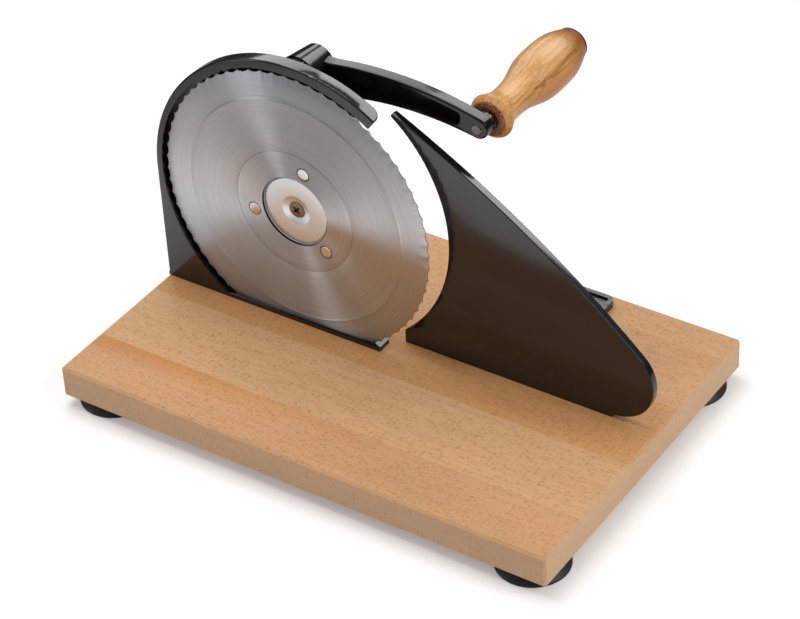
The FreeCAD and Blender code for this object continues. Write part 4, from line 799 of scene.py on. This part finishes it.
# the heartwood streak runs from one (y in mm, degrees round the grip) to the other
gripWood = {"light": "DFA869", "dark": "9C5C24", "ringGap": 2.9, "pith": (-34.0, 20.0),
            "streakSize": (1.818, 83.33, 1.818), "lineSize": (0.7692, 33.33, 0.7692),
            "bendSize": (20.0, 83.33, 20.0), "fleck": "8C5523", "fleckSize": (0.6667, 3.571, 0.6667),
            # side is the browner tone below the streak, partly heartwood and partly painted shade
            "far": "94501A", "farEnd": (93.0, 116.0), "brownShadedSideTone": "B0621C", "heart": "824514",
            "heartStart": (40.0, 12.0), "heartEnd": (115.0, 43.0), "heartWidth": 11.0,
            "face": ("3B2013", "96593A", "CE9468"), "faceDepth": (0.85, 0.5),
            "speckSize": (0.9091, 2.0, 0.4167)}


# Turned beech under clear gloss varnish: pale honey with fine brown lines along its length, one
# darker streak of heartwood that crosses the grip, browner below it partly from heartwood and partly as
# painted shade on the lower right side, dark end grain on the front face.
def makeGripBeech(plan, handle):
    material, tree = newMaterial("varnished turned beech")
    place = placeInMm(tree)
    x, z = axes["grip"]
    split = addNode(tree, "ShaderNodeSeparateXYZ", {0: place})
    streak = addGrain(tree, place, plan["streakSize"], 5.0, 0.6, 0.2)
    lines = addGrain(tree, place, plan["lineSize"], 3.0, 0.6)  # real ones are finer
    bend = addGrain(tree, place, plan["bendSize"])
    ringPlace = addNode(tree, "ShaderNodeMapping",
                        {"Vector": place, "Scale": (1.0, 0.0, 1.0),
                         "Location": (-x - plan["pith"][0], 0, -z - plan["pith"][1])})
    reach = addNode(tree, "ShaderNodeVectorMath", {"operation": "LENGTH", 0: ringPlace})
    bent = addNode(tree, "ShaderNodeMath", {"operation": "MULTIPLY_ADD", 0: bend, 1: 10.0, 2: reach})
    phase = addNode(tree, "ShaderNodeMath",
                    {"operation": "MULTIPLY", 0: bent, 1: 2 * math.pi / plan["ringGap"]})
    wave = addNode(tree, "ShaderNodeMath", {"operation": "SINE", 0: phase})
    rings = addNode(tree, "ShaderNodeMapRange",
                    {"Value": wave, "From Min": 0.3, "From Max": 1.0, "To Max": 0.24})
    dark = addNode(tree, "ShaderNodeMapRange",
                   {"Value": streak, "From Min": 0.5, "From Max": 0.72, "To Max": 0.6})
    amount = addNode(tree, "ShaderNodeMath", {"operation": "MAXIMUM", 0: rings, 1: dark})
    colour = addNode(tree, "ShaderNodeMix", {"data_type": "RGBA", 0: amount, 6: hexColour(plan["light"]),
                                             7: hexColour(plan["dark"])})

    # the heartwood streak turns slowly round the grip from the neck to the far end
    middle = addNode(tree, "ShaderNodeVectorMath", {"operation": "SUBTRACT", 0: place, 1: (x, 0, z)})
    offAxis = addNode(tree, "ShaderNodeSeparateXYZ", {0: middle})
    angle = addNode(tree, "ShaderNodeMath", {"operation": "ARCTAN2", 0: offAxis.outputs["Z"],
                                             1: offAxis.outputs["X"]})
    (startY, startTurn), (endY, endTurn) = plan["heartStart"], plan["heartEnd"]
    heartLine = addNode(tree, "ShaderNodeMapRange",
                        {"Value": split.outputs["Y"], "From Min": startY, "From Max": endY,
                         "To Min": math.radians(startTurn), "To Max": math.radians(endTurn)})
    below = addNode(tree, "ShaderNodeMath", {"operation": "SUBTRACT", 0: heartLine, 1: angle})
    aside = addNode(tree, "ShaderNodeMath", {"operation": "ABSOLUTE", 0: below})
    near = addNode(tree, "ShaderNodeMapRange",
                   {"Value": aside, "From Min": math.radians(plan["heartWidth"]), "From Max": 0.0})
    broken = addNode(tree, "ShaderNodeMapRange", {"Value": streak, "From Min": 0.36, "From Max": 0.62})
    heart = addNode(tree, "ShaderNodeMath", {"operation": "MULTIPLY", 0: near, 1: broken})
    pastNeck = addNode(tree, "ShaderNodeMapRange", {"Value": split.outputs["Y"], "From Min": startY - 2.0,
                                                    "From Max": startY + 14.0})
    heart = addNode(tree, "ShaderNodeMath", {"operation": "MULTIPLY", 0: heart, 1: pastNeck})
    # below the streak the grip turns browner: partly heartwood, partly painted shade on its lower right
    # side
    brownShadedSide = addNode(tree, "ShaderNodeMapRange",
                    {"Value": below, "From Min": -0.1, "From Max": 0.7, "To Max": 0.6})
    # the grip turns browner towards the far end
    farEnd = addNode(tree, "ShaderNodeMapRange",
                     {"Value": split.outputs["Y"], "From Min": plan["farEnd"][0],
                      "From Max": plan["farEnd"][1], "To Max": 0.85})
    fleckPlace = addNode(tree, "ShaderNodeMapping",
                         {"Vector": place, "Scale": [1 / width for width in plan["fleckSize"]]})
    cells = addNode(tree, "ShaderNodeTexVoronoi", {0: fleckPlace, "Scale": 1.0})
    fleck = addNode(tree, "ShaderNodeMapRange",
                    {"Value": cells, "From Min": 0.36, "From Max": 0.14, "To Max": 0.4})
    for amount, mark in ((brownShadedSide, "brownShadedSideTone"), (heart, "heart"), (farEnd, "far"), (fleck, "fleck")):
        colour = addNode(tree, "ShaderNodeMix", {"data_type": "RGBA", 0: amount, 6: colour,
                                                 7: hexColour(plan[mark])})
    fine = addNode(tree, "ShaderNodeMapRange", {"Value": lines, "From Min": 0.32, "From Max": 0.68,
                                                "To Min": 0.78, "To Max": 1.12})
    colour = addNode(tree, "ShaderNodeVectorMath", {"operation": "SCALE", 0: colour, "Scale": fine})

    # the front face: end grain soaked dark, with fine specks
    inFace = addNode(tree, "ShaderNodeMapRange",
                     {"Value": split.outputs["Y"], "From Min": handle["front"] + plan["faceDepth"][0],
                      "From Max": handle["front"] + plan["faceDepth"][1]})
    speck = addGrain(tree, place, plan["speckSize"], 3.0)
    faceTone = setStops(addNode(tree, "ShaderNodeValToRGB", {0: speck}),
                        [(0.4 + 0.12 * k, hexColour(tone)) for k, tone in enumerate(plan["face"])])
    colour = addNode(tree, "ShaderNodeMix", {"data_type": "RGBA", 0: inFace, 6: colour, 7: faceTone})
    bump = addNode(tree, "ShaderNodeBump", {"Height": lines, "Strength": 0.2, "Distance": 0.00005})
    return closeMaterial(material, {"Base Color": colour, "Normal": bump, "Roughness": 0.34,
                                    "Specular IOR Level": 0.2, "Coat Weight": 0.15,
                                    "Coat Roughness": 0.1})


# A curve through the outline's points, finely divided.
def splinePoints(points, steps):
    curve = []
    for i in range(len(points) - 1):
        p0, p1 = Vector(points[max(i - 1, 0)]), Vector(points[i])
        p2, p3 = Vector(points[i + 1]), Vector(points[min(i + 2, len(points) - 1)])
        for k in range(steps):
            t = k / steps
            point = 0.5 * (2 * p1 + (p2 - p0) * t + (2 * p0 - 5 * p1 + 4 * p2 - p3) * t ** 2
                           + (3 * p1 - p0 - 3 * p2 + p3) * t ** 3)
            curve.append((point.x, point.y))
    curve.append(tuple(points[-1]))
    return curve


def makeHandle(plan):
    start = plan["front"]
    end = start + plan["length"]
    bottom = end - plan["recessDepth"]
    curve = splinePoints(plan["collar"], 3)[:-1] + splinePoints(plan["outline"], 4)
    outline = [(start, plan["bore"]), (start, plan["face"])]
    outline += [(start + along, radius) for along, radius in curve]
    outline += [(end, plan["recess"]), (bottom, plan["recess"]), (bottom, plan["bore"])]
    mesh = turnedMesh("handle", outline, axes["grip"], 96, closed=True)
    smooth(mesh, 40)
    standFor("handle_grip", newPiece("turnedHandle", mesh, makeGripBeech(gripWood, plan)))


makeHandle(handlePlan)
print("handle turned")

footPlan = {"rim": 20.2, "height": 7.0, "wall": 2.2, "neck": 12.0, "stem": 5.0, "stemLength": 8.0,
            "bore": 2.02, "width": 0.296, "depth": 0.1826,
            "skirt": [(0.0, 22.1), (0.3, 22.4), (1.0, 22.4), (1.5, 22.0), (3.4, 19.6), (4.6, 17.9),
                      (5.4, 16.4), (6.2, 13.6)],
            "inside": [(4.8, 10.0), (4.0, 12.8), (2.2, 17.2)]}


def makeFeet(plan):
    height, top = plan["height"], plan["height"] + plan["stemLength"]
    outline = [(0.0, plan["rim"])] + plan["skirt"]
    outline += [(height, plan["neck"]), (height, plan["stem"]), (top, plan["stem"]),
                (top, plan["bore"]), (height - plan["wall"], plan["bore"])] + plan["inside"]
    mesh = turnedMesh("foot", outline, (0.0, 0.0), 64, closed=True)
    mesh.transform(Matrix.Rotation(math.radians(90), 4, "X"))
    values = {"Width": plan["width"], "Depth": plan["depth"], "Finish": finishes["foot_rubber"],
              "Middle": (0.0, (boardFront + boardBack) / 2 * mm, 0.0)}
    standFor("suction_feet", grown("suctionFeet", mesh, cornerTree, values, 40))


makeFeet(footPlan)
print("feet moulded")

# every other node keeps its CAD shape; two have a finish of their own within their slot
ownPieces = ("blade", "blade_rivets", "hub_cap", "handle_grip", "suction_feet")
ownFinishes = {"handle_axle": makeMetal(axleSteel), "crank_arm": makeEnamel(lacquerPlan)}
for nodeName, slotName in slotOfNode.items():
    if nodeName not in ownPieces:
        smoothCopy(nodeName, ownFinishes.get(nodeName) or finishes[slotName])
print("smooth shells made")

print("all pieces placed")
